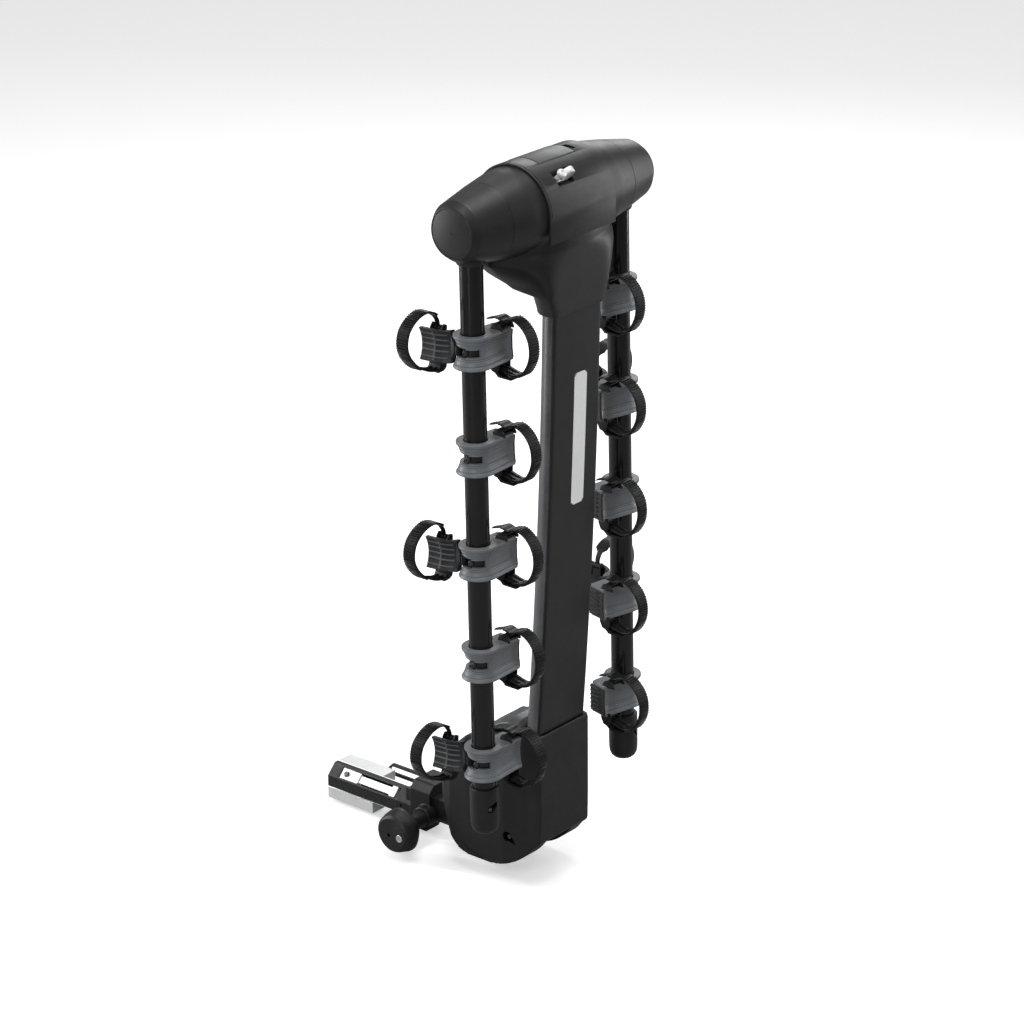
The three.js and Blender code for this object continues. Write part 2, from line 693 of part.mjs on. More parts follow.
add('hitch_bar', hitchBar(), BLACK_PAINT);
add('receiver_collar', receiverCollar(), BLACK_PLASTIC);
add('wedge_upper', wedge(true), BARE_METAL);
add('wedge_lower', wedge(false), BARE_METAL);
add('draw_rod', drawRod(), BARE_METAL);
add('snap_pin', snapPin(), STEEL);
add('tension_knob', tensionKnob(), BLACK_PLASTIC);
add('knob_lock', rod('y', KNOB.face - 0.6, KNOB.face + LOCK.deep, LOCK.r, [LOCK.x, LOCK.z]), BARE_METAL);
add('tether_loop', tetherLoop(), BLACK_PAINT);
add('tilt_pivot_bolt', tiltPivotBolt(), STEEL);
add('mast_foot', mastFoot(), STEEL);
add('mast', mastTube(), MAST_PAINT);
add('mast_cover', mastCover(), BLACK_PAINT);
add('base_shell_left', baseShell(-1), BLACK_PLASTIC);
add('base_shell_right', baseShell(1), BLACK_PLASTIC);
add('tilt_lever', tiltLever(), LEVER_GREY);
add('latch_pin', latchPin(), STEEL);
add('hub_housing_front', hubHousing(true), HUB_PLASTIC);
add('hub_housing_rear', hubHousing(false), HUB_PLASTIC);
add('hub_sleeve', hubSleeve(), HUB_PLASTIC);
add('fold_lever', foldLever(), LEVER_GREY);
add('cable_hook', cableHook(), BARE_METAL);
add('cross_shaft', crossShaft(), STEEL, arms);
buildArm('left', -1);
buildArm('right', 1);

export default carrier;
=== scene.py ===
"""Looks of the hitch bike carrier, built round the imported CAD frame. Lengths in mesh code are in
millimetres in a local frame, and each piece is then placed by a joint or a box of the frame."""
import json
import math
import bmesh
import bpy
import numpy as np
from mathutils import Matrix, Vector


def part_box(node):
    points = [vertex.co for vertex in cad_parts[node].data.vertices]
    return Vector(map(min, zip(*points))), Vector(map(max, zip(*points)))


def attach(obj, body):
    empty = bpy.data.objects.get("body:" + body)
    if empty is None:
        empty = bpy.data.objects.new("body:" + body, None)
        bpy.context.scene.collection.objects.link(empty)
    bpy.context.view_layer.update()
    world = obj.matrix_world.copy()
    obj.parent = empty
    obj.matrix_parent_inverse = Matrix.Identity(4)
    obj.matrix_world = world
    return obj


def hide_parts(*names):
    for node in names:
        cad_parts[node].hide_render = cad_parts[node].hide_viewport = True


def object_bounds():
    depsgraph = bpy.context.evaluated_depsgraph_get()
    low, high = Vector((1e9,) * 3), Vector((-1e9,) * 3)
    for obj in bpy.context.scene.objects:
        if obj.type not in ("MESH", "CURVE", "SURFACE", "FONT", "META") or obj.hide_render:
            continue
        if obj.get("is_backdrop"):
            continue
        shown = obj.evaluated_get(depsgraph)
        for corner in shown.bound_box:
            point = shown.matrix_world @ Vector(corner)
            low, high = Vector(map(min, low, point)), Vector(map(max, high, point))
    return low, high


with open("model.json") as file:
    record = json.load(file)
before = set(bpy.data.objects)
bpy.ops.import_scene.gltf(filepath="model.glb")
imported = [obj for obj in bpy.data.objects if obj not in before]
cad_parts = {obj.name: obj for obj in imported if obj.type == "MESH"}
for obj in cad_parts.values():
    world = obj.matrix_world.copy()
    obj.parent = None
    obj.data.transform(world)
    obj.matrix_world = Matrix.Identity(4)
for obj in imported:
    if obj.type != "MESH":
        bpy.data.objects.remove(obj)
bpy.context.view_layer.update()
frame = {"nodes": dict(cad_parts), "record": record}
MM = 0.001
JOINTS = {j["name"]: j for j in frame["record"]["behaviour"]["joints"]}
HUB = Vector(JOINTS["arm_fold"]["pos_m"])
PIVOT = Vector(JOINTS["mast_tilt"]["pos_m"])
SHANK_END = Vector((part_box("hitch_bar")[0].x, 0, 0))
AT_HUB = Matrix.Translation(HUB)
AT_PIVOT = Matrix.Translation(PIVOT)
AT_SHANK = Matrix.Translation(SHANK_END)


# ------------------------------------------------------------------ arm frames
def arm_frame(name):
    """Local frame of an arm: origin on the hub axis, Z up along the leaned tube."""
    lo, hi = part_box(f"{name}_arm_tube")
    first = Vector(JOINTS[f"{name}_strap_1_open"]["pos_m"])
    last = Vector(JOINTS[f"{name}_strap_5_open"]["pos_m"])
    down = last - first
    lean = math.atan2(down.x, -down.z)
    origin = Matrix.Translation((HUB.x, (lo.y + hi.y) / 2, HUB.z))
    return origin @ Matrix.Rotation(-lean, 4, "Y")


ARM = {name: arm_frame(name) for name in ("left", "right")}
SIDE = {"left": 1, "right": -1}          # the right arm is the left one mirrored in Y
HINGE_BELOW = 33                         # strap hinge below its cradle's middle, mm
CRADLES = 5                              # on each arm


def cradle_level(name, i):
    local = ARM[name].inverted() @ Vector(JOINTS[f"{name}_strap_{i}_open"]["pos_m"])
    return local.z / MM + HINGE_BELOW


# ------------------------------------------------------------------ materials
def node(tree, kind, **inputs):
    n = tree.nodes.new(kind)
    for key, value in inputs.items():
        n.inputs[key.replace("_", " ")].default_value = value
    return n


def noise(tree, coords, scale, detail=3.0, roughness=0.5, stretch=None):
    tex = node(tree, "ShaderNodeTexNoise", Scale=scale, Detail=detail, Roughness=roughness)
    if stretch:
        mapping = tree.nodes.new("ShaderNodeMapping")
        mapping.inputs["Scale"].default_value = stretch
        tree.links.new(coords, mapping.inputs["Vector"])
        coords = mapping.outputs["Vector"]
    tree.links.new(coords, tex.inputs["Vector"])
    return tex.outputs["Fac"]


def ranged(tree, value, lo, hi, to_lo, to_hi):
    m = tree.nodes.new("ShaderNodeMapRange")
    for key, v in zip(("From Min", "From Max", "To Min", "To Max"), (lo, hi, to_lo, to_hi)):
        m.inputs[key].default_value = v
    tree.links.new(value, m.inputs["Value"])
    return m.outputs["Result"]


def mixed(tree, factor, a, b):
    m = tree.nodes.new("ShaderNodeMix")
    m.data_type = "RGBA"
    tree.links.new(factor, m.inputs["Factor"])
    for socket, value in (("A", a), ("B", b)):
        target = [s for s in m.inputs if s.name == socket and s.type == "RGBA"][0]
        if hasattr(value, "links"):
            tree.links.new(value, target)
        else:
            target.default_value = (*value, 1)
    return [s for s in m.outputs if s.type == "RGBA"][0]


def surface(name, color, roughness, metallic=0.0, grain=(1400, 0.12), mottle=(22, 0.18),
            wear=0.25, brushed=None, specular=0.5, flake=0.0):
    """A procedural finish: mottled colour, worn edges, uneven roughness, and a fine bump."""
    mat = bpy.data.materials.new(name)
    mat.use_nodes = True
    tree = mat.node_tree
    bsdf = tree.nodes["Principled BSDF"]
    coords = tree.nodes.new("ShaderNodeTexCoord").outputs["Object"]
    rgb = np.array(color, float)
    patches = noise(tree, coords, mottle[0], 4.0, 0.6)
    spread = ranged(tree, patches, 0.3, 0.7, 0, 1)
    base = mixed(tree, spread, tuple(rgb * (1 - mottle[1])), tuple(np.minimum(rgb * (1 + mottle[1]), 1)))
    if flake:
        specks = ranged(tree, noise(tree, coords, 2600, 0.0), 0.62, 0.72, 0, flake)
        base = mixed(tree, specks, base, tuple(np.minimum(rgb * 2.2 + 0.05, 1)))
    edge = tree.nodes.new("ShaderNodeNewGeometry").outputs["Pointiness"]
    rub = tree.nodes.new("ShaderNodeMath")
    rub.operation = "MULTIPLY"
    tree.links.new(ranged(tree, edge, 0.53, 0.62, 0, wear), rub.inputs[0])
    tree.links.new(ranged(tree, noise(tree, coords, 260, 5.0, 0.7), 0.42, 0.62, 0, 1), rub.inputs[1])
    base = mixed(tree, rub.outputs[0], base, tuple(np.minimum(rgb * 1.9 + 0.035, 1)))
    tree.links.new(base, bsdf.inputs["Base Color"])
    bsdf.inputs["Metallic"].default_value = metallic
    bsdf.inputs["Specular IOR Level"].default_value = specular
    smudge = noise(tree, coords, 55, 5.0, 0.65)
    tree.links.new(ranged(tree, smudge, 0.3, 0.7, roughness * 0.88, roughness * 1.12),
                   bsdf.inputs["Roughness"])
    height = noise(tree, coords, grain[0], 2.0, 0.5, brushed)
    bump = node(tree, "ShaderNodeBump", Strength=grain[1], Distance=0.0004)
    tree.links.new(height, bump.inputs["Height"])
    tree.links.new(bump.outputs["Normal"], bsdf.inputs["Normal"])
    return mat


M = {
    "hub": surface("hub_satin", (0.0115, 0.0117, 0.0122), 0.42, grain=(1700, 0.1), specular=0.34),
    "disc": surface("hub_disc_satin", (0.017, 0.0173, 0.018), 0.5, grain=(1700, 0.12), specular=0.36),
    "plastic": surface("moulded_black", (0.0105, 0.0107, 0.0112), 0.46, grain=(1500, 0.14), specular=0.32),
    "paint": surface("gloss_black_coat", (0.0075, 0.0076, 0.008), 0.2, grain=(420, 0.015), specular=0.36),
    "coat": surface("textured_black_coat", (0.009, 0.0092, 0.0097), 0.4, grain=(2200, 0.18), specular=0.3),
    "cover": surface("mast_cover_black", (0.012, 0.0122, 0.0127), 0.36, grain=(1500, 0.05), specular=0.32),
    # mast: mid grey that stands in for a side lamp's reflection on black paint; painted reflection
    "mast": surface("mast_painted_reflection_grey", (0.12, 0.122, 0.125), 0.34, 0.75, grain=(900, 0.04), flake=0.35),
    "pad": surface("slate_pad", (0.145, 0.156, 0.167), 0.42, grain=(1100, 0.16), mottle=(40, 0.1),
                   specular=0.35),
    "flange": surface("slate_flange", (0.15, 0.16, 0.17), 0.48, grain=(1100, 0.14), mottle=(40, 0.1),
                      specular=0.4),
    "cage": surface("slate_cage", (0.02, 0.0225, 0.025), 0.5, grain=(1100, 0.16), mottle=(40, 0.1),
                    specular=0.35),
    # rib: lighter grey for the tops of the cage pad's ribs; painted highlight along the rib edges
    "rib": surface("slate_rib_painted_highlight", (0.095, 0.104, 0.113), 0.48, grain=(1100, 0.14), mottle=(40, 0.1),
                   specular=0.35),
    "strap": surface("strap_rubber", (0.0055, 0.0057, 0.006), 0.4, grain=(1300, 0.1), specular=0.3),
    "lever": surface("lever_grey", (0.040, 0.043, 0.046), 0.45, grain=(900, 0.03), specular=0.4),
    "dome": surface("dome_grey", (0.078, 0.083, 0.089), 0.36, grain=(900, 0.03), specular=0.4),
    "alu": surface("bare_aluminium", (0.62, 0.63, 0.64), 0.36, 0.8, grain=(700, 0.08), brushed=(0.06, 1, 1),
                   mottle=(60, 0.05), wear=0.1),
    "cast": surface("tumbled_aluminium", (0.74, 0.75, 0.76), 0.44, 0.5, grain=(800, 0.12),
                    mottle=(60, 0.05), wear=0.1),
    "steel": surface("zinc_steel", (0.42, 0.43, 0.44), 0.38, 0.9, grain=(900, 0.12), mottle=(80, 0.1)),
    "dull": surface("dull_steel", (0.07, 0.071, 0.073), 0.4, 0.7, grain=(900, 0.12), mottle=(80, 0.15)),
    "white": surface("light_strip", (0.93, 0.935, 0.94), 0.4, grain=(3000, 0.15), mottle=(300, 0.03),
                     wear=0.0),
    # dark: near-black for sheets inside recesses, standing in for shade; painted shade
    "dark": surface("recess_painted_shade", (0.003, 0.003, 0.0034), 0.7, grain=(900, 0.1), specular=0.15),
}


# ------------------------------------------------------------------ mesh helpers
def mesh_object(name, verts, faces):
    me = bpy.data.meshes.new(name)
    me.from_pydata([tuple(float(c) * MM for c in v) for v in verts], [], faces)
    o = bpy.data.objects.new(name, me)
    bpy.context.scene.collection.objects.link(o)
    bm = bmesh.new()
    bm.from_mesh(me)
    bmesh.ops.remove_doubles(bm, verts=bm.verts, dist=1e-6)
    bmesh.ops.recalc_face_normals(bm, faces=bm.faces)
    bm.to_mesh(me)
    bm.free()
    return o


AXES = {"x": (1, 2, 0), "y": (0, 2, 1), "z": (0, 1, 2)}


def point(axis, u, v, w):
    p = [0.0, 0.0, 0.0]
    for slot, value in zip(AXES[axis], (u, v, w)):
        p[slot] = value
    return p


def prism(name, outline, axis, a, b):
    n = len(outline)
    verts = [point(axis, u, v, w) for w in (a, b) for u, v in outline]
    sides = [(i, (i + 1) % n, n + (i + 1) % n, n + i) for i in range(n)]
    return mesh_object(name, verts, [tuple(range(n)), tuple(range(n, 2 * n)), *sides])


def box(name, x0, x1, y0, y1, z0, z1):
    return prism(name, [(x0, y0), (x1, y0), (x1, y1), (x0, y1)], "z", z0, z1)


def loft(name, rings):
    n = len(rings[0])
    verts = [p for ring in rings for p in ring]
    faces = []
    for k in range(len(rings) - 1):
        for i in range(n):
            j = (i + 1) % n
            faces.append((k * n + i, k * n + j, (k + 1) * n + j, (k + 1) * n + i))
    faces += [tuple(range(n)), tuple(range((len(rings) - 1) * n, len(rings) * n))]
    return mesh_object(name, verts, faces)


def lathe(name, profile, axis="y", segments=72, centre=(0, 0), shape=None):
    """Turned piece: profile of (radius, position) along the axis, from pole to pole."""
    rings = []
    for r, w in profile:
        ring = []
        for k in range(segments):
            t = 2 * math.pi * k / segments
            q = max(r, 0.01) * (shape(t, w) if shape else 1)
            ring.append(point(axis, centre[0] + q * math.cos(t), centre[1] + q * math.sin(t), w))
        rings.append(ring)
    return loft(name, rings)


def spline(points, count):
    """Points at even spacing along a centripetal Catmull-Rom curve."""
    p = np.array(points, float)
    p = np.vstack([2 * p[0] - p[1], p, 2 * p[-1] - p[-2]])
    out = []
    for i in range(1, len(p) - 2):
        for t in np.linspace(0, 1, 24, endpoint=False):
            a, b, c, d = p[i - 1], p[i], p[i + 1], p[i + 2]
            out.append(0.5 * (2 * b + (c - a) * t + (2 * a - 5 * b + 4 * c - d) * t ** 2
                              + (3 * b - a - 3 * c + d) * t ** 3))
    out = np.array(out + [p[-2]])
    length = np.r_[0, np.cumsum(np.linalg.norm(np.diff(out, axis=0), axis=1))]
    even = np.linspace(0, length[-1], count)
    return np.column_stack([np.interp(even, length, out[:, k]) for k in range(out.shape[1])]), length[-1]


def fillet(points, radius, steps=4):
    """Polygon with its corners rounded."""
    out = []
    n = len(points)
    for i in range(n):
        before, here, after = (np.array(points[j % n], float) for j in (i - 1, i, i + 1))
        a, b = before - here, after - here
        la, lb = np.linalg.norm(a), np.linalg.norm(b)
        a, b = a / la, b / lb
        angle = math.acos(float(np.clip(a @ b, -1, 1)))
        r = radius[i] if isinstance(radius, (list, tuple)) else radius
        if angle > math.radians(172) or r <= 0:
            out.append(tuple(here))
            continue
        t = min(r / math.tan(angle / 2), la * 0.45, lb * 0.45)
        r = t * math.tan(angle / 2)
        c = here + (a + b) / np.linalg.norm(a + b) * (r / math.sin(angle / 2))
        s, e = here + a * t - c, here + b * t - c
        a0, a1 = math.atan2(s[1], s[0]), math.atan2(e[1], e[0])
        d = (a1 - a0 + math.pi) % (2 * math.pi) - math.pi
        out += [tuple(c + r * np.array((math.cos(a0 + d * k / steps), math.sin(a0 + d * k / steps))))
                for k in range(steps + 1)]
    return out


def arc(cx, cy, r, a, b, steps):
    return [(cx + r * math.cos(math.radians(a + (b - a) * k / steps)),
             cy + r * math.sin(math.radians(a + (b - a) * k / steps))) for k in range(steps + 1)]


def drop(o):
    me = o.data
    bpy.data.objects.remove(o)
    if me.users == 0:
        bpy.data.meshes.remove(me)


def applied(o):
    """Replaces the mesh by its result with modifiers."""
    dg = bpy.context.evaluated_depsgraph_get()
    me = bpy.data.meshes.new_from_object(o.evaluated_get(dg))
    old = o.data
    o.modifiers.clear()
    o.data = me
    bpy.data.meshes.remove(old)
    return o


def modifier(o, kind, **settings):
    m = o.modifiers.new(kind.lower(), kind)
    for key, value in settings.items():
        setattr(m, key, value)
    return applied(o)


def combine(o, *others, operation="DIFFERENCE"):
    for other in others:
        before = len(o.data.polygons)
        backup = o.data.copy()
        modifier(o, "BOOLEAN", object=other, operation=operation, solver="EXACT")
        if len(o.data.polygons) == 0 and before:
            o.data = backup
            print("boolean failed on", o.name, "with", other.name)
        else:
            bpy.data.meshes.remove(backup)
        drop(other)
    return o


def union(o, *others):
    return combine(o, *others, operation="UNION")


def joined(name, *objects):
    """One mesh of several overlapping closed meshes."""
    bm = bmesh.new()
    for o in objects:
        bm.from_mesh(o.data)
        drop(o)
    me = bpy.data.meshes.new(name)
    bm.to_mesh(me)
    bm.free()
    o = bpy.data.objects.new(name, me)
    bpy.context.scene.collection.objects.link(o)
    return o


def melted(o, voxel, rounds):
    """Moulded look: the meshes fuse into one skin, and edges and inner corners round off."""
    modifier(o, "REMESH", mode="VOXEL", voxel_size=voxel * MM)
    return modifier(o, "SMOOTH", factor=0.5, iterations=rounds)


def bevelled(o, width, segments=3, angle=32):
    bm = bmesh.new()
    bm.from_mesh(o.data)
    bmesh.ops.dissolve_limit(bm, angle_limit=math.radians(0.6), verts=bm.verts, edges=bm.edges)
    bm.to_mesh(o.data)
    bm.free()
    return modifier(o, "BEVEL", width=width * MM, segments=segments, limit_method="ANGLE",
                    angle_limit=math.radians(angle), use_clamp_overlap=True)


def shaded(o, angle=38):
    me = o.data
    me.polygons.foreach_set("use_smooth", [True] * len(me.polygons))
    me.set_sharp_from_angle(angle=math.radians(angle))
    return o


def painted(o, key):
    o.data.materials.clear()
    o.data.materials.append(M[key])
    return o


def copied(o, name):
    twin = bpy.data.objects.new(name, o.data.copy())
    bpy.context.scene.collection.objects.link(twin)
    return twin


def placed(o, matrix, body, slot, *nodes):
    o.data.transform(matrix)
    if matrix.determinant() < 0:
        o.data.flip_normals()
    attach(o, body)
    if nodes:
        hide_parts(*nodes)
    return o


def refined(node_name, body, slot, key, width=0.8, segments=2):
    """A copy of a CAD node with softened edges."""
    o = copied(frame["nodes"][node_name], node_name + "_finished")
    shaded(bevelled(o, width, segments), 40)
    painted(o, key)
    return placed(o, Matrix.Identity(4), body, slot, node_name)


# ------------------------------------------------------------------ hub
TEE_BOTTOM, TEE_HALF = -140, 53
SEAM, SLEEVE_HALF, SLEEVE_R = 126, 68, 64.5


def barrel_radius(y):
    return float(np.interp(abs(y), [0, 60, 68, 90, 126, 180], [61.8, 61.6, 61.2, 58.8, 52.5, 41.2]))


def neck_ring(z, inset=0):
    """Section of the neck: a flat face narrower than the flanks, and a foot round at the back."""
    levels = [-155, -140, -133, -117, -95, -78, -62, -50]
    w = float(np.interp(z, levels, [TEE_HALF, TEE_HALF, 55.5, 64, 83, 103, 120, 124.5])) - inset
    face_w = float(np.interp(z, [-140, -135, -112, -95, -76, -51, -28],
                             [52.5, 53, 62, 68, 75, 84, 91])) - inset
    front = float(np.interp(z, [-140, -40, 0], [60.5, 62.4, 60])) - inset
    back = float(np.interp(z, [-140, -112, -104, -98, -80, -52], [7, 5, 0, -6, -34, -50])) + inset
    middle = float(np.interp(z, [-140, -112, -103, -60], [44, 48, 14, 0]))
    boxy_front = float(np.interp(z, [-140, -105, -80, -48], [16, 16, 9, 2.6]))
    boxy_back = float(np.interp(z, [-112, -103, -80, -48], [2.1, 5, 4, 2.3]))
    ring = []
    for k in range(96):
        t = 2 * math.pi * k / 96
        c, s = math.cos(t), math.sin(t)
        power = boxy_front if c > 0 else boxy_back
        q = (abs(c) ** power + abs(s) ** power) ** (-1 / power)
        reach = front - middle if c > 0 else middle - back
        x = middle + reach * q * c
        forward = min(max((x - 5) / (front - 5), 0.0), 1.0)
        ring.append((x, (w + (min(face_w, w) - w) * forward) * q * s, z))
    return ring


def hub_shells():
    reach = SEAM + 6
    profile = [(barrel_radius(y), y) for y in np.linspace(-reach, reach, 66)]
    profile = [(0, -reach), *profile, (0, reach)]
    barrel = lathe("barrel", profile, segments=120)
    neck = loft("neck", [neck_ring(z) for z in np.linspace(TEE_BOTTOM, -6, 56)])
    shell = melted(joined("hub_shell", barrel, neck), 1.4, 4)
    socket = loft("socket", [neck_ring(z, 3.2) for z in np.linspace(TEE_BOTTOM - 12, TEE_BOTTOM + 28, 14)])
    combine(shell, socket, box("hook_recess", 34.5, 60, -37, -3, 34.5, 60),
            box("end", -90, 90, SEAM, 200, -200, 90), box("end", -90, 90, -200, -SEAM, -200, 90))
    for name, cutter, nodes in (
            ("hub_shell_front", box("cut", -90, 6.2, -200, 200, -200, 90), "hub_housing_front"),
            ("hub_shell_rear", box("cut", 6.5, 90, -200, 200, -200, 90), "hub_housing_rear")):
        half = combine(copied(shell, name), cutter)
        shaded(painted(half, "hub"), 40)
        placed(half, AT_HUB, "mast", "hub_plastic", nodes)
    drop(shell)


def sleeve():
    inner = SLEEVE_R - 2.9
    outer = arc(0, 0, SLEEVE_R, 202, 2, 70)
    front = [(SLEEVE_R + 0.5, -8), (SLEEVE_R + 0.7, -34), (62.7, -34), (62.3, -14)]
    back = arc(0, 0, inner, 2, 202, 70)
    o = prism("hub_sleeve_band", outer + front + back, "y", -SLEEVE_HALF, SLEEVE_HALF)
    slot = [*arc(0, 0, 80, 126, 70.6, 20), (0, 0)]
    combine(o, prism("slot", slot, "y", -37, 37), box("recess", 36.5, 60, -36, -4, 36.5, 60))
    notch = [(-3, 54), (14, 54), (14, 70), (-3, 70)]
    combine(o, prism("notch", notch, "y", 36, 46))
    shaded(bevelled(o, 0.9, 3, 30), 45)
    bead = arc(0, 0, SLEEVE_R - 0.9, 202, 2, 60) + arc(0, 0, SLEEVE_R + 3, 2, 202, 60)
    combine(o, prism("bead_groove", bead, "y", 0.9 - SLEEVE_HALF + 3, 1.7 - SLEEVE_HALF + 3))
    shaded(o, 32)
    painted(o, "hub")
    placed(o, AT_HUB, "mast", "hub_plastic", "hub_sleeve")
    # A near-black sheet under the fold lever, seen through the gaps round it: painted shade.
    outline = arc(0, 0, 61.9, 128, 68, 16) + arc(0, 0, 60.4, 68, 128, 16)
    floor = prism("sleeve_recess_painted_shade", outline, "y", -38, 47)
    painted(floor, "dark")
    placed(floor, AT_HUB, "mast", "hub_plastic")


def fold_lever():
    outer, inner = arc(0, 0, SLEEVE_R + 0.5, 125, 71.6, 28), arc(0, 0, SLEEVE_R - 2.7, 71.6, 125, 28)
    o = prism("fold_lever_panel", outer + inner, "y", -36.4, 36.4)
    shaded(bevelled(o, 0.7, 3, 30), 45)
    painted(o, "lever")
    placed(o, AT_HUB, "fold_lever", "lever_grey", "fold_lever")


def cable_hook():
    """A sprung pin with a flanged head, and the arched hook it closes."""
    line = [(-12, -5), (-13, 4), (-10.5, 13), (-3.5, 17), (3.6, 13.5), (5, 7.5), (2.6, 4.5)]
    path, _ = spline(line, 36)
    rings = []
    for k, (y, z) in enumerate(path):
        t = path[min(k + 1, len(path) - 1)] - path[max(k - 1, 0)]
        t /= np.linalg.norm(t)
        n = np.array((-t[1], t[0]))
        ring = [(3.8 * c, y + n[0] * 1.9 * s, z + n[1] * 1.9 * s) for c, s in
                ((math.copysign(abs(math.cos(a)) ** 0.5, math.cos(a)),
                  math.copysign(abs(math.sin(a)) ** 0.5, math.sin(a)))
                 for a in np.linspace(0, 2 * math.pi, 20, endpoint=False))]
        rings.append(ring)
    hook = loft("hook", [[(x, -y, z) for x, y, z in r] for r in rings])
    pin = lathe("pin", [(0, -2), (3.2, -2), (3.2, 7.4), (2.8, 8), (2.8, 11), (5.2, 11.6), (5.8, 12.8),
                        (5.8, 14.6), (5, 15.8), (3, 16.2), (2.4, 15.2), (0, 15)], "z", 32, (0, -9.5))
    foot = box("foot", -4.5, 6, -12, 11, -6, -2.2)
    o = joined("cable_hook_finished", bevelled(hook, 0.3, 1), pin, bevelled(foot, 0.7))
    o.data.transform(Matrix.Diagonal((1.15, 1.1, 1.3, 1)))
    shaded(painted(o, "cast"))
    at = Matrix.Translation((HUB.x + 0.0402, HUB.y - 0.020, HUB.z + 0.0402))
    tilt = at @ Matrix.Rotation(math.radians(45), 4, "Y")
    placed(o, tilt, "mast", "bare_aluminium", "cable_hook")
    # A near-black lining round the hook's recess: painted shade.
    shade_well = box("hook_well_painted_shade", 34.8, 46, -36.5, -3.5, 34.8, 46)
    combine(shade_well, box("c", 36.6, 60, -35.8, -4.2, 36.6, 60))
    painted(shade_well, "dark")
    placed(shade_well, AT_HUB, "mast", "hub_plastic")


# ------------------------------------------------------------------ mast
MAST_HALF, MAST_DEPTH = 48.5, 42
MAST_TOP, MAST_BOTTOM, MAST_BEND = -58, -776, -126


def mast_front(z):
    d = max(0.0, MAST_BEND - z)
    return 56.2 - 0.0155 * d - 4.66e-5 * d * d


def mast():
    w, shoulder = MAST_HALF, -10
    half = [(-4.6, w - 1.2), (-5.6, w - 0.2), (shoulder, w)]
    half += [(shoulder + (MAST_DEPTH + shoulder) * math.cos(a), w * math.sin(a))
             for a in np.linspace(math.pi / 2, math.pi, 26)[1:]]
    outline = half + [(x, -y) for x, y in half[::-1][1:]]
    levels = np.linspace(MAST_BOTTOM, MAST_TOP, 60)
    rings = [[(x + mast_front(z), y, z) for x, y in outline] for z in levels]
    # The tube's grey colour is painted reflection of a side lamp on a black mast.
    o = shaded(painted(loft("mast_tube", rings), "mast"), 40)
    placed(o, AT_HUB, "mast", "mast_paint", "mast")
    edge = w + 0.6
    face = [(-4.2, edge - 2), (-1.8, edge), (-0.9, edge - 0.25), (-0.25, edge - 1), (0, edge - 2.2)]
    face += [(0.25 * math.cos(math.pi * y / (2 * edge)), y) for y in np.linspace(edge - 6, 0, 10)]
    outline = face + [(x, -y) for x, y in face[::-1][1:]]
    rings = [[(x + mast_front(z), y, z) for x, y in outline] for z in levels]
    o = shaded(painted(loft("mast_cover_panel", rings), "cover"), 40)
    placed(o, AT_HUB, "mast", "black_paint", "mast_cover")


def light_strip():
    """A plain light strip with round ends on the mast's front."""
    y0, y1, top, low, r = -5, 21, -230, -420, 5
    outline = fillet([(y0, top), (y0, low), (y1, low), (y1, top)], r, 6)
    dense = []
    for (a, b), (c, d) in zip(outline, outline[1:] + outline[:1]):
        steps = max(1, int(abs(d - b) // 6))
        dense += [(a + (c - a) * k / steps, b + (d - b) * k / steps) for k in range(steps)]
    verts, n = [], len(dense)
    for lift in (0.15, 0.62):
        verts += [(mast_front(z) + lift + 0.1 * (lift < 0.3), y, z) for y, z in dense]
    rows = np.linspace(top, low, 40)
    o = mesh_object("mast_light_strip", verts, [(i, (i + 1) % n, n + (i + 1) % n, n + i) for i in range(n)])
    face = []
    for z in rows:
        dz = max(0.0, r - min(top - z, z - low))
        cut = r - math.sqrt(max(0.0, r * r - dz * dz))
        face.append([(mast_front(z) + 0.62, y0 + cut, z), (mast_front(z) + 0.62, y1 - cut, z)])
    front = mesh_object("front", [p for row in face for p in row],
                        [(2 * k, 2 * k + 1, 2 * k + 3, 2 * k + 2) for k in range(len(rows) - 1)])
    o = joined("mast_light_strip", o, front)
    painted(o, "white")
    placed(o, AT_HUB, "mast", "bare_aluminium")


# ------------------------------------------------------------------ base
BASE_R, BASE_HALF = 93, 64


def base_side(inset):
    """Side view about the pivot; the lower rear bulges past the circle."""
    front = 88 - inset
    lift = inset * 1.1
    curve = []
    for k in range(101):
        angle = -34 - 198 * k / 100
        r = BASE_R - inset + 11 * math.exp(-((angle + 124) / 19) ** 2)
        curve.append((r * math.cos(math.radians(angle)), r * math.sin(math.radians(angle))))
    corners = [(front, 121.5 - lift), (front + 1, 0), (front, -42 + inset), (front - 4, -46.5 + inset)]
    top = [(-38, 91.5 - lift), (-8, 96 - lift), (20, 103 - lift), (46, 112.5 - lift), (66, 120.5 - lift)]
    return corners + curve + top


def base_plan(inset):
    y = BASE_HALF - inset
    half = [(93, 0), (93, 52 - inset), (82, 55.5 - inset), (60, 60 - inset), (29, y), (-38, y),
            (-70, y - 3), (-87, y - 9), (-101, y - 16), (-120, y - 22)]
    return half + [(x, -v) for x, v in half[::-1] if v > 0]


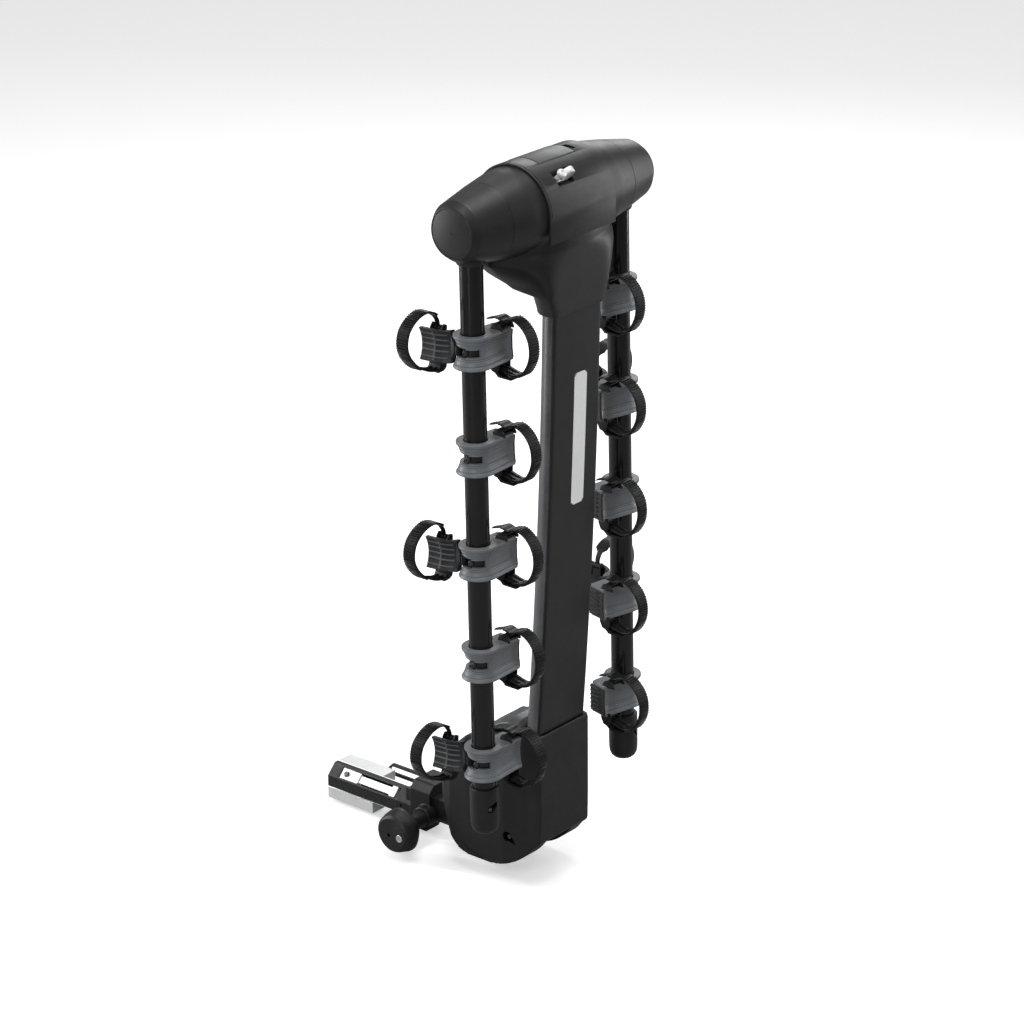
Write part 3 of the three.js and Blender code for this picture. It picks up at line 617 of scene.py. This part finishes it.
def base_shell():
    outer = combine(prism("base_shell", fillet(base_side(0), 5, 4), "y", -70, 70),
                    prism("plan", fillet(base_plan(0), 6, 4), "z", -110, 140), operation="INTERSECT")
    inner = combine(prism("inner", base_side(3), "y", -70, 70),
                    prism("plan", base_plan(3), "z", -110, 140), operation="INTERSECT")
    melted(outer, 1.6, 5)
    combine(outer, inner,
            box("tongue_gap", -140, 84.5, -27.5, 27.5, -130, -19.5),
            box("lever_gap", -140, -6, -36, 36, -120, 170),
            box("lever_bay", -8, 41, -36, 36, 64, 170),
            prism("mast_bay", fillet([(39, -49.9), (86, -49.9), (86, 49.9), (39, 49.9)], 8, 4), "z", 88,
                  170))
    for side in (-1, 1):
        groove = arc(0, 0, 90.4, 150, 268, 60) + arc(0, 0, 89.4, 268, 150, 60)
        y0, y1 = sorted((side * 62.9, side * 70))
        combine(outer, prism("groove", groove, "y", y0, y1))
        drop_outline = [*arc(0, 0, 7.4, 40, 290, 18), (15, -10.5)]
        teardrop = [(x + 36, z - 43) for x, z in fillet(drop_outline, 0.8, 2)]
        y0, y1 = sorted((side * 58.2, side * 70))
        combine(outer, prism("teardrop", teardrop, "y", y0, y1))
    shaded(painted(outer, "plastic"), 40)
    placed(outer, AT_PIVOT, "mast", "black_plastic", "base_shell_left", "base_shell_right")
    for side, name in ((-1, "left"), (1, "right")):
        y0, y1 = sorted((side * 57.6, side * 60.6))
        at = (38, -43.5)
        screw = lathe("base_screw_" + name, [(0, y0), (3.4, y0), (3.4, y1), (0, y1)], "y", 32, at)
        hex_y = sorted((side * 59.8, side * 64))
        combine(screw, lathe("hex", [(0, hex_y[0]), (1.7, hex_y[0]), (1.7, hex_y[1]), (0, hex_y[1])], "y",
                             6, at))
        shaded(painted(bevelled(screw, 0.4, 2), "dull"))
        placed(screw, AT_PIVOT, "mast", "steel")


def tilt_lever():
    """Grey dome with a dark ribbed grip at its lower end."""
    top = [(-34, 82), (-29, 92), (-18, 106), (-2, 116), (14, 120.5), (27, 119), (35, 113.5), (35, 104.5)]
    under = [(-2, 101.5), (-18, 94), (-27, 81)]
    rings = []
    for y in np.linspace(-33, 33, 34):
        edge = (abs(y) / 33) ** 4
        ring = [(x + 2.2 * edge * (x < 0), z - 6 * edge * (z - 78) / 40) for x, z in top] + under
        rings.append([(x, y, z) for x, z in fillet(ring, 1.2, 2)])
    o = loft("tilt_lever_dome", rings)
    modifier(o, "REMESH", mode="VOXEL", voxel_size=1.1 * MM)
    modifier(o, "SMOOTH", factor=0.5, iterations=6)
    shaded(painted(o, "dome"), 60)
    placed(o, AT_PIVOT, "tilt_lever", "lever_grey", "tilt_lever")
    grips = []
    for k in range(6):
        t = k / 5
        x, z = -35.2 + 9 * t, 83.5 + 14 * t
        grips.append(bevelled(box("rib", x - 1.3, x + 1.0, -22, 22, z - 0.9, z + 0.9), 0.5, 2))
    o = shaded(painted(joined("tilt_lever_grip", *grips), "plastic"))
    placed(o, AT_PIVOT, "tilt_lever", "lever_grey")


# ------------------------------------------------------------------ tongue
SHANK = 50.8


def tongue():
    refined("hitch_bar", "tongue", "black_paint", "coat", 1.1, 3)
    for name in ("wedge_upper", "wedge_lower"):
        refined(name, name, "bare_aluminium", "cast", 1.0, 3)
    refined("draw_rod", "draw_rod", "bare_aluminium", "cast", 0.7, 2)
    refined("snap_pin", "snap_pin", "steel", "dull", 0.6)
    refined("tilt_pivot_bolt", "tongue", "steel", "steel", 0.8)
    refined("mast_foot", "mast", "steel", "steel", 0.9)
    refined("latch_pin", "latch_pin", "steel", "steel", 0.7)
    refined("cross_shaft", "arms", "steel", "steel", 0.8)
    refined("tether_loop", "tongue", "black_paint", "coat", 0.4, 2)
    collar()
    knob()


def octagon(h, c):
    return [(-h, h - c), (-h, c - h), (c - h, -h), (h - c, -h), (h, c - h), (h, h - c), (h - c, h),
            (c - h, h)]


def collar():
    h = SHANK / 2
    sleeve_part = prism("c", fillet(octagon(h + 5, 17), 2.5, 3), "x", 134, 180)
    band = prism("b", fillet([(-31, -4), (31, -4), (31, 42), (20, 53), (-20, 53), (-31, 42)], 4, 4), "x",
                 164, 202)
    boss = lathe("boss", [(0, -44), (14.5, -44), (16, -42.5), (16, -25), (0, -25)], "y", 48, (196, 8.5))
    o = joined("collar_casting", sleeve_part, band, boss)
    melted(o, 0.9, 4)
    combine(o, box("bore", 100, 260, -25.7, 25.7, -25.7, 25.7 + 10.2),
            lathe("hole", [(0, -60), (12.4, -60), (12.4, -5), (0, -5)], "y", 48, (198, 8.5)),
            lathe("eye", [(0, -60), (2.2, -60), (2.2, -27), (0, -27)], "y", 20, (146, 8)))
    shaded(painted(o, "coat"), 45)
    placed(o, AT_SHANK, "tongue", "black_plastic", "receiver_collar")


def knob():
    x, z, face = 198, 8.5, -110
    lock = (x + 14, z - 2.5)

    def lobes(t, w):
        depth = float(np.interp(w, [face, face + 3.5, face + 9, face + 26, face + 33],
                                [0, 0.01, 0.06, 0.07, 0]))
        return 1 - depth * (0.5 + 0.5 * math.cos(5 * t + 0.9))

    profile, _ = spline([(24.8, face + 0.5), (27, face + 2.0), (29.2, face + 5), (31.4, face + 11),
                         (33.2, face + 18), (32.4, face + 24), (28.4, face + 29), (22.5, face + 32),
                         (13, face + 33.6)], 34)
    rings = [(0, face), (24, face), *[(r, w) for r, w in profile], (12, face + 34), (12, -28), (11, -27),
             (8, -26.6), (8, -6), (0, -6)]
    o = lathe("tension_knob_grip", rings, "y", 120, (x, z), lobes)
    combine(o, lathe("lock", [(0, face - 2), (6, face - 2), (6, face + 13), (0, face + 13)], "y", 40, lock),
            lathe("hole", [(0, face - 2), (2.9, face - 2), (2.9, face + 8), (0, face + 8)], "y", 24,
                  (x - 5, z - 2.5)))
    shaded(painted(o, "plastic"), 30)
    placed(o, AT_SHANK, "tension_knob", "black_plastic", "tension_knob")
    face -= 0.6
    o = lathe("knob_lock_barrel", [(0, face + 12), (5.6, face + 12), (5.6, face + 0.6), (5.1, face),
                                   (3.9, face), (3.7, face + 0.5), (0, face + 0.5)], "y", 48, lock)
    combine(o, box("key", lock[0] - 0.5, lock[0] + 0.5, face - 1, face + 5, lock[1] - 2.1, lock[1] + 2.1))
    shaded(painted(o, "alu"))
    placed(o, AT_SHANK, "knob_lock", "bare_aluminium", "knob_lock")


# ------------------------------------------------------------------ arms
ARM_Y, HUB_HALF, TUBE_R = 153, 190, 15.9
TUBE_TOP, TUBE_LOW, CAP_TOP = -24, -806, -792
TOE = {"left": math.radians(3), "right": math.radians(14)}


def arm_hub():
    out = ARM_Y - HUB_HALF
    local = lambda y: ARM_Y - y
    cone = [(barrel_radius(y), local(y)) for y in np.linspace(179.2, SEAM + 1, 24)]
    face = [(0, out), (33.8, out), (34.5, out + 0.35), (35.1, out + 1.1), (40.4, out + 9.3),
            (41.1, out + 10.1)]
    joint = [(barrel_radius(SEAM), local(SEAM + 0.45)), (0, local(SEAM + 0.45))]
    o = lathe("arm_hub_cone", face + cone + joint, "y", 144)
    collar_part = lathe("collar", [(0, -30), (20.4, -30), (20, -45), (19.6, -47), (18.6, -48.6),
                                   (17.2, -49.2), (0, -49.2)], "z", 72)
    union(o, collar_part)
    combine(o, lathe("bore", [(0, -60), (16.2, -60), (16.2, TUBE_TOP + 1), (0, TUBE_TOP + 1)], "z", 48),
            lathe("shaft", [(0, -32), (13.3, -32), (13.3, 60), (0, 60)], "y", 48),
            lathe("dish", [(0, out - 2), (33.3, out - 2), (33.0, out + 1.0), (0, out + 1.0)], "y", 96))
    disc = lathe("disc", [(0, out + 2.4), (32.7, out + 2.4), (32.7, out + 0.6), (32.1, out + 0.25),
                          (1.3, out + 0.25), (1.0, out + 1.2), (0, out + 1.2)], "y", 96)
    return shaded(painted(o, "hub"), 14), shaded(painted(disc, "disc"), 38)


def arm_tube():
    wall = [(TUBE_R - 2.4, TUBE_TOP - 8), (TUBE_R - 2.4, TUBE_TOP), (TUBE_R - 0.4, TUBE_TOP),
            (TUBE_R, TUBE_TOP - 0.4)]
    body = [(TUBE_R, z) for z in np.linspace(TUBE_TOP - 4, TUBE_LOW + 4, 80)]
    end = [(TUBE_R, TUBE_LOW + 0.4), (TUBE_R - 0.4, TUBE_LOW), (TUBE_R - 2.4, TUBE_LOW),
           (TUBE_R - 2.4, TUBE_LOW + 8)]
    o = lathe("tube", wall + body + end, "z", 72)
    return shaded(painted(o, "paint"), 40)


def end_cap():
    top = CAP_TOP
    profile = [(0, top - 68), (8, top - 68), (13.5, top - 67), (17, top - 64), (19.2, top - 59.5),
               (20.2, top - 53), (20.4, top - 44), (20.4, top - 2.5), (20.1, top - 1), (19.2, top - 0.2),
               (16.4, top), (16.2, top - 1), (16.2, top - 15), (0, top - 15)]
    o = lathe("cap", profile, "z", 72)
    slot = fillet([(-7.5, top - 25), (7.5, top - 17), (7.5, top - 26), (-1, top - 33.5), (-7.5, top - 33)],
                  2.4, 4)
    turn = Matrix.Rotation(math.radians(74), 4, "Z")
    cutter = prism("slot", slot, "y", -40, -3)
    combine(o, cutter)
    pin = lathe("pin", [(0, -19.8), (2.3, -19.8), (2.8, -19.2), (2.8, 0), (0, 0)], "y", 28,
                (-3.8, top - 28.8))
    for piece in (o, pin):
        piece.data.transform(turn)
    return shaded(painted(o, "plastic"), 36), shaded(painted(pin, "dull"))


# Saddle surface of a cradle: distance from the tube's axis at a height.
LIP_Z, WAIST, HOLLOW, INNER, PAD_TOP = 22.5, 20.5, 37.5, 52, 19.4


def saddle_radius(z):
    r = WAIST + HOLLOW - math.sqrt(HOLLOW ** 2 - z * z)
    for at, deep in ((15.6, 0.9), (10.9, 0.8), (7.0, 0.55), (-8.6, 0.9), (-11.2, 0.8), (-17.4, 0.9)):
        r -= deep * math.exp(-((z - at) / 0.6) ** 2)
    edge = PAD_TOP if z > 0 else LIP_Z
    over = max(0.0, abs(z) - (edge - 1.8))
    return r - 0.4 * over * over


def saddle_plan(r):
    """Plan of the pad at one height; toward its inner end the hollow fades out."""
    def flared(y):
        t = max(0.0, (y - 37) / (INNER - 37))
        return r + 0.92 * max(0.0, 27.4 - r) * t * t * t

    tip = flared(INNER - 2)
    end = [(tip - 2.5, INNER), (tip - 0.8, INNER - 0.7), (tip, INNER - 2)]
    straight = [(flared(y), y) for y in np.linspace(INNER - 4, 5, 16)]
    wrap = [(r * math.cos(a), r * math.sin(a)) for a in np.radians(np.linspace(0, -230, 56))]
    back = [(-8, 33), (-7, 38), (-6, 43), (-5, 48), (-3.5, 51), (-2, INNER), (6, INNER)]
    return end + straight + wrap + back


def slots():
    """Window at the outer end and the slots the sway cage's ring turns in."""
    window = fillet([*arc(0, 0, 45, -115, -21, 20), *arc(0, 0, 8, -21, -115, 6)], 1.5, 3)
    cage_slot = [*arc(0, 0, 45, 125, 241, 20), *arc(0, 0, 8, 241, 125, 6)]
    ring_slot = [*arc(0, 0, 24.8, 84, 283, 30), *arc(0, 0, 8, 283, 84, 10)]
    return (lathe("bore", [(0, -60), (16.4, -60), (16.4, 60), (0, 60)], "z", 64),
            prism("window", window, "z", -5.2, 5.2), prism("ring", ring_slot, "z", -7, 7),
            prism("cage", cage_slot, "z", -7, 7))


def cradle_saddle(turn):
    levels = np.linspace(-LIP_Z, PAD_TOP, 89)
    o = loft("saddle", [[(x, y, z) for x, y in saddle_plan(saddle_radius(z))] for z in levels])
    o.data.transform(turn)
    combine(o, *slots())
    return shaded(painted(o, "pad"), 34)


def cradle_flange(turn):
    """Light oval plate on top, with a small raised bar."""
    outline = [(24.4, INNER - 1), (26.2, INNER - 3), (26.2, 4)]
    outline += arc(0, 0, 26.2, 0, -232, 48) + [(-8, 26), (-5, INNER - 2)]
    o = bevelled(prism("flange", outline, "z", PAD_TOP - 1.5, LIP_Z), 0.9, 3)
    bar = bevelled(box("bar", -5.5, 4.5, -24.6, -21.6, LIP_Z - 0.5, LIP_Z + 1.1), 0.5)
    bar.data.transform(Matrix.Rotation(math.radians(38), 4, "Z"))
    o.data.transform(turn)
    o = joined("flange", o, bar)
    combine(o, lathe("bore", [(0, -60), (16.9, -60), (16.9, 60), (0, 60)], "z", 64))
    return shaded(painted(o, "flange"), 30)


def cradle_frame(turn):
    """Black carrier behind the pad: buckle on top, hooked lug below, and the core at the inner end."""
    parts = []
    core = [(-6.5, 30), (17.5, 30), (17.5, INNER + 0.6), (-4.6, INNER + 0.6)]
    parts.append(bevelled(prism("core", core, "z", -20.5, 18.5), 0.7))
    plate = [(-5.5, 18.6), (-5.5, -21), (25.6, -21.4), (26, -20), (24.8, -8), (24.8, 8), (26, 17.6),
             (25.6, 18.6)]
    parts.append(prism("end_plate", plate, "y", INNER - 0.4, INNER + 0.9))
    for k in range(6):
        z = -17.5 + 6.4 * k
        parts.append(bevelled(box("rung", -6, 16.8, INNER - 1, INNER + 1.9, z, z + 2.2), 0.4))
    for part in parts:
        part.data.transform(turn)
    for y in (28.2, 51.2):
        cheek = [(6, 21), (6, 24), (9, 30.2), (15, 32.4), (23, 29.6), (26.5, 24), (26.5, 21)]
        parts.append(bevelled(prism("cheek", fillet(cheek, 1.4, 3), "y", y, y + 2.0), 0.4))
    pawl = [(5, 23), (7, 22.6), (14.5, 29.4), (22, 28.4), (24, 30.2), (15.2, 32.6), (5, 25.4)]
    parts.append(bevelled(prism("pawl", fillet(pawl, 0.6, 2), "y", 30.6, 50.8), 0.3))
    for k in range(3):
        z = 23.4 + 2.0 * k
        parts.append(bevelled(box("step", 3.4 + 2.6 * k, 5 + 2.6 * k, 31.5, 50, z, z + 1.2), 0.3))
    parts.append(lathe("pin", [(0, 27.4), (1.9, 27.4), (1.9, 54), (0, 54)], "y", 24, (15, 29.4)))
    lug = [(3.5, -20), (3.5, -26), (5, -27.4), (15, -27.4), (16, -26), (16, -20)]
    parts.append(bevelled(prism("lug", fillet(lug, 1, 3), "y", 30.8, 50.4), 0.5))
    for y in (28.4, 50.8):
        ear = [(2, -19), (2, -27), (6, -36), (14, -38.5), (19, -33), (20, -19)]
        parts.append(bevelled(prism("ear", fillet(ear, 1.6, 3), "y", y, y + 2.0), 0.4))
    return shaded(painted(joined("carrier", *parts), "plastic"), 36)


def cradle_screw():
    o = lathe("screw", [(0, -16.1), (3.9, -16.1), (3.9, -18.6), (3.4, -19.2), (2.7, -19.2), (2.7, -20.2),
                        (2.3, -20.6), (1.5, -20.6), (1.3, -19.6), (0, -19.6)], "y", 32)
    o.data.transform(Matrix.Rotation(math.radians(5), 4, "Z"))
    return shaded(painted(o, "dull"))


STRAP_WIDTH, STRAP_THICKNESS, STRAP_Y = 20, 2.6, 40.6
RIB_PITCH, STRAP_SAMPLES = 3.4, 620
STRAP_LINE = [(8, -31.5), (20, -33), (32, -36.5), (42, -37.5), (54, -33), (63, -22), (68, -10), (69.3, 2),
              (67.5, 14), (62, 25), (53, 34), (42, 39), (32, 38), (24, 35), (14, 37.5), (2, 34), (-8, 31)]
SWAY_LINE = [(13, -29.5), (27, -30.5), (45, -25), (63, -14), (76, 1), (81, 17), (76, 35), (60, 48),
             (40, 52.5), (23, 47), (13, 36.5), (9.5, 26)]


def band(path, length, ribs, tongues):
    """A strap along a path in (p, z): ladder ribs outside between two shares of its length,
    and ridges inside up to a share."""
    n = len(path)
    rings = []
    for k, p in enumerate(path):
        t = path[min(k + 1, n - 1)] - path[max(k - 1, 0)]
        t /= np.linalg.norm(t)
        out = np.array((t[1], -t[0]))
        s = k / (n - 1)
        ladder = 0.0
        if ribs[0] < s < ribs[1]:
            phase = (s * length / RIB_PITCH) % 1
            ladder = 1.5 * float(np.clip((0.29 - abs(phase - 0.5)) / 0.08, 0, 1))
        ridge = 1.5 * float(np.clip((tongues - s) / 0.05, 0, 1))
        end = min(1.0, 12 * s + 0.75, 12 * (1 - s) + 0.6)
        share = float(np.interp(s, [0, 0.885, 0.915, 0.985, 1], [1, 1, 0.42, 0.36, 0.2]))
        h, w = STRAP_THICKNESS / 2, STRAP_WIDTH / 2 * share
        profile = [(-w, -h * 0.5), (-w + 0.7, -h), (-w + 4.2, -h), (-w + 4.7, -h - ridge),
                   (-w + 6.5, -h - ridge), (-w + 7, -h), (w - 7, -h), (w - 6.5, -h - ridge),
                   (w - 4.7, -h - ridge), (w - 4.2, -h), (w - 0.7, -h), (w, -h * 0.5), (w, h * 0.45),
                   (w - 0.8, h), (w - 1.4, h + ladder), (1.4 - w, h + ladder), (0.8 - w, h),
                   (-w, h * 0.45)]
        rings.append([(*(p + out * (q * end)), c) for c, q in profile])
    return rings


def strap(name):
    path, length = spline(STRAP_LINE, STRAP_SAMPLES)
    rings = band(path, length, (0.2, 0.74), 0.19)
    o = loft(name, [[(p, STRAP_Y + c, z) for p, z, c in ring] for ring in rings])
    hook = [(7.5, -32.6), (8.5, -38), (15, -44), (37, -44.6), (40, -43), (38, -41.6), (19, -41),
            (14.4, -36.5), (13, -33)]
    hook = bevelled(prism("hook", fillet(hook, 1, 3), "y", 31.0, 50.2), 0.5)
    return shaded(painted(joined(name, o, hook), "strap"), 40)


def sway_strap(name):
    path, length = spline(SWAY_LINE, STRAP_SAMPLES)
    rings = band(path, length, (0.22, 0.76), 0.2)
    o = loft(name, [[(-51 + c, -p, z) for p, z, c in ring] for ring in rings])
    return shaded(painted(o, "strap"), 40)


def cage_rib(x, z):
    """Height share of the raised ribs on the cage pad."""
    rib = max(math.exp(-((z - at) / 1.05) ** 4) for at in (15.5, 8, 0.3, -7.6, -15.6))
    rib *= float(np.clip((x + 73) / 1.5, 0, 1) * np.clip((-33 - x) / 1.5, 0, 1))
    return max(rib, math.exp(-((x + 52.5) / 1.1) ** 4)) if abs(z) < 19.5 else rib


def cage_front(x, z):
    """Y of the cage pad's outward face: hollow over its height, bending toward the arm at its inner end."""
    y = -60 + math.sqrt(45 ** 2 - z * z)
    bend = 0.017 * max(0.0, x + 53) ** 2 + 0.06 * min(0.0, x + 53)
    over = max(0.0, abs(z) - 21)
    y += bend + 0.5 * over * over
    return y - 1.25 * cage_rib(x, z)


def sway_cage():
    xs = np.linspace(-74, -29, 74)
    zs = np.linspace(-22.5, 22.5, 93)
    rings = []
    for z in zs:
        front = [(x, cage_front(x, z), z) for x in xs]
        back = [(x, cage_front(x, 0) + 5.4 + 0.017 * max(0.0, x + 53) ** 2 * 0.2 - 4.4 * (z / 22.5) ** 2, z)
                for x in xs[::-4]]
        rings.append(front + back)
    pad = loft("pad", rings)
    painted(pad, "cage")
    # The raised ribs' outward faces get the lighter rib colour: painted highlight on the dark pad.
    pad.data.materials.append(M["rib"])
    for face in pad.data.polygons:
        x, y, z = (c / MM for c in face.center)
        face.material_index = int(y < cage_front(x, z) + 1.5 and cage_rib(x, z) > 0.35)
    wedge_rings = []
    for t in np.linspace(0, 1, 9):
        half = 21.5 + (5.6 - 21.5) * t ** 0.8
        x = -31 + 8.5 * t
        y0, y1 = -9.5 - 2.8 * t, -4.5 - 6 * t + 7.5 * t * t
        wedge_rings.append([(x, y0, -half), (x + 1, y1, -half), (x + 1, y1, half), (x, y0, half)])
    web = bevelled(loft("web", wedge_rings), 0.8, 2, 25)
    ring = prism("ring", arc(0, 0, 23.3, 128, 238, 40) + arc(0, 0, 16.9, 238, 128, 40), "z", -6.1, 6.1)
    ring = bevelled(ring, 0.9, 3, 30)
    shaded(painted(web, "cage"), 38)
    grip = shaded(pad, 38)
    lug = [(-18, -19), (-18.5, -25.5), (-24, -33.6), (-22.5, -35), (-12, -34.4), (-6.5, -31.5), (-5, -27),
           (-5.5, -19)]
    parts = [ring, bevelled(prism("lug", fillet(lug, 1.2, 3), "x", -61, -41), 0.5)]
    for x in (-61.5, -42.6):
        ear = [(-14, 8), (-14, 24), (-9, 29.5), (-3.5, 27), (-4.5, 8)]
        parts.append(bevelled(prism("ear", fillet(ear, 1.4, 3), "x", x, x + 2.1), 0.4))
    parts.append(bevelled(box("plate", -60, -42, -9.6, -6.4, 2, 23), 0.6))
    parts.append(lathe("pin", [(0, -62.3), (1.8, -62.3), (1.8, -39.7), (0, -39.7)], "x", 24, (-6.2, 24.6)))
    for x in (-54.5, -49.0):
        parts.append(bevelled(box("claw", x, x + 1.8, -11, -5, 20, 26), 0.4))
    frame_part = shaded(painted(joined("cage_frame", *parts), "plastic"), 36)
    return grip, web, frame_part


def build_arms():
    hub, disc = arm_hub()
    tube = arm_tube()
    cap, cap_pin = end_cap()
    screw, band_piece = cradle_screw(), strap("strap")
    cage, cage_web, cage_frame = sway_cage()
    cage_strap = sway_strap("cage_strap")
    spare = [hub, disc, tube, cap, cap_pin, screw, band_piece, cage, cage_web, cage_frame, cage_strap]
    for name, matrix in ARM.items():
        m = matrix @ Matrix.Diagonal((1, SIDE[name], 1, 1))
        turn = Matrix.Rotation(TOE[name], 4, "Z")
        saddle, flange, carrier = cradle_saddle(turn), cradle_flange(turn), cradle_frame(turn)
        spare += [saddle, flange, carrier]

        def put(piece, new_name, body, slot, *nodes, level=0.0):
            o = copied(piece, new_name)
            placed(o, m @ Matrix.Translation((0, 0, level * MM)), body, slot, *nodes)

        put(hub, f"{name}_hub_cone", "arms", "hub_plastic", f"{name}_arm_hub")
        put(disc, f"{name}_hub_disc", "arms", "hub_plastic")
        put(tube, f"{name}_tube", "arms", "black_paint", f"{name}_arm_tube")
        put(cap, f"{name}_cap", "arms", "black_plastic", f"{name}_end_cap")
        put(cap_pin, f"{name}_cap_pin", "arms", "steel")
        for i in range(1, CRADLES + 1):
            level = cradle_level(name, i)
            put(saddle, f"{name}_saddle_{i}", "arms", "pad_rubber", f"{name}_cradle_{i}", level=level)
            put(flange, f"{name}_saddle_flange_{i}", "arms", "pad_rubber", level=level)
            put(carrier, f"{name}_saddle_frame_{i}", "arms", "black_plastic", level=level)
            put(screw, f"{name}_saddle_screw_{i}", "arms", "steel", level=level)
            put(band_piece, f"{name}_band_{i}", f"{name}_strap_{i}", "strap_rubber", f"{name}_strap_{i}",
                level=level)
            if f"{name}_sway_cage_{i}" in frame["nodes"]:
                body = f"{name}_sway_cage_{i}"
                put(cage, f"{name}_cage_pad_{i}", body, "black_plastic", body, level=level)
                put(cage_web, f"{name}_cage_web_{i}", body, "black_plastic", level=level)
                put(cage_frame, f"{name}_cage_frame_{i}", body, "black_plastic", level=level)
                tail = f"{name}_sway_strap_{i}"
                put(cage_strap, f"{name}_cage_band_{i}", tail, "strap_rubber", tail, level=level)
    for o in spare:
        drop(o)


# ------------------------------------------------------------------ studio
def seen_or_lit(tree, seen, lit):
    """One look for the camera and another for the light it sends on."""
    mix = tree.nodes.new("ShaderNodeMixShader")
    path = tree.nodes.new("ShaderNodeLightPath")
    tree.links.new(path.outputs["Is Camera Ray"], mix.inputs[0])
    tree.links.new(lit.outputs[0], mix.inputs[1])
    tree.links.new(seen.outputs[0], mix.inputs[2])
    return mix.outputs[0]


def studio():
    lo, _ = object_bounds()
    r = 40000
    floor = mesh_object("floor", [(-r, -r, 0), (r, -r, 0), (r, r, 0), (-r, r, 0)], [(0, 1, 2, 3)])
    floor.location.z = lo.z - 0.001
    mat = bpy.data.materials.new("studio_floor")
    mat.use_nodes = True
    tree = mat.node_tree
    bsdf = tree.nodes["Principled BSDF"]
    bsdf.inputs["Base Color"].default_value = (0.80, 0.80, 0.80, 1)
    bsdf.inputs["Roughness"].default_value = 0.9
    bsdf.inputs["Specular IOR Level"].default_value = 0.1
    bsdf.inputs["Emission Color"].default_value = (1, 1, 1, 1)
    bsdf.inputs["Emission Strength"].default_value = 0.46
    dim = node(tree, "ShaderNodeBsdfDiffuse", Color=(0.34, 0.34, 0.345, 1))
    tree.links.new(seen_or_lit(tree, bsdf, dim), tree.nodes["Material Output"].inputs["Surface"])
    floor.data.materials.append(mat)
    floor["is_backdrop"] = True
    world = bpy.data.worlds.new("studio")
    world.use_nodes = True
    tree = world.node_tree
    white = tree.nodes["Background"]
    white.inputs["Color"].default_value = (1, 1, 1, 1)
    grey = node(tree, "ShaderNodeBackground", Color=(1, 1, 1, 1), Strength=0.3)
    tree.links.new(seen_or_lit(tree, white, grey), tree.nodes["World Output"].inputs["Surface"])
    bpy.context.scene.world = world
    aim = HUB + Vector((0, 0, -0.45))

    def softbox(name, offset, size, power, size_y=None):
        light = bpy.data.lights.new(name, "AREA")
        light.shape = "RECTANGLE"
        light.size, light.size_y = size, size_y or size
        light.energy = power
        o = bpy.data.objects.new(name, light)
        bpy.context.scene.collection.objects.link(o)
        o.location = aim + Vector(offset)
        o.rotation_mode = "QUATERNION"
        o.rotation_quaternion = (aim - o.location).to_track_quat("-Z", "Y")

    softbox("overhead", (0.2, 0.2, 3.2), 2.2, 85)
    softbox("key", (1.2, -3.2, 1.9), 1.0, 32)
    softbox("front_strip", (0.83, -3.1, 0.5), 0.12, 11, 2.6)
    softbox("side_strip", (-3.0, -1.3, 0.6), 0.3, 90, 2.8)
    softbox("right_strip", (1.2, 2.9, 0.6), 0.35, 38, 2.6)
    softbox("rear", (-1.6, 2.8, 1.6), 1.4, 25)


def camera():
    """The viewpoint, relative to the middle of the hub axis."""
    data = bpy.data.cameras.new("camera")
    data.sensor_width = 36
    data.lens = 133.03
    data.clip_end = 200
    o = bpy.data.objects.new("camera", data)
    bpy.context.scene.collection.objects.link(o)
    right, up, back = (0.7706, 0.6373, -0.0046), (-0.2350, 0.2908, 0.9275), (0.5925, -0.7136, 0.3738)
    turn = Matrix((right, up, back)).transposed().to_4x4()
    o.matrix_world = Matrix.Translation(HUB + Vector((3.0099, -3.6965, 1.4787))) @ turn
    bpy.context.scene.camera = o


hub_shells()
sleeve()
fold_lever()
cable_hook()
mast()
light_strip()
base_shell()
tilt_lever()
tongue()
build_arms()
studio()
camera()
bpy.context.scene.view_settings.view_transform = "Standard"
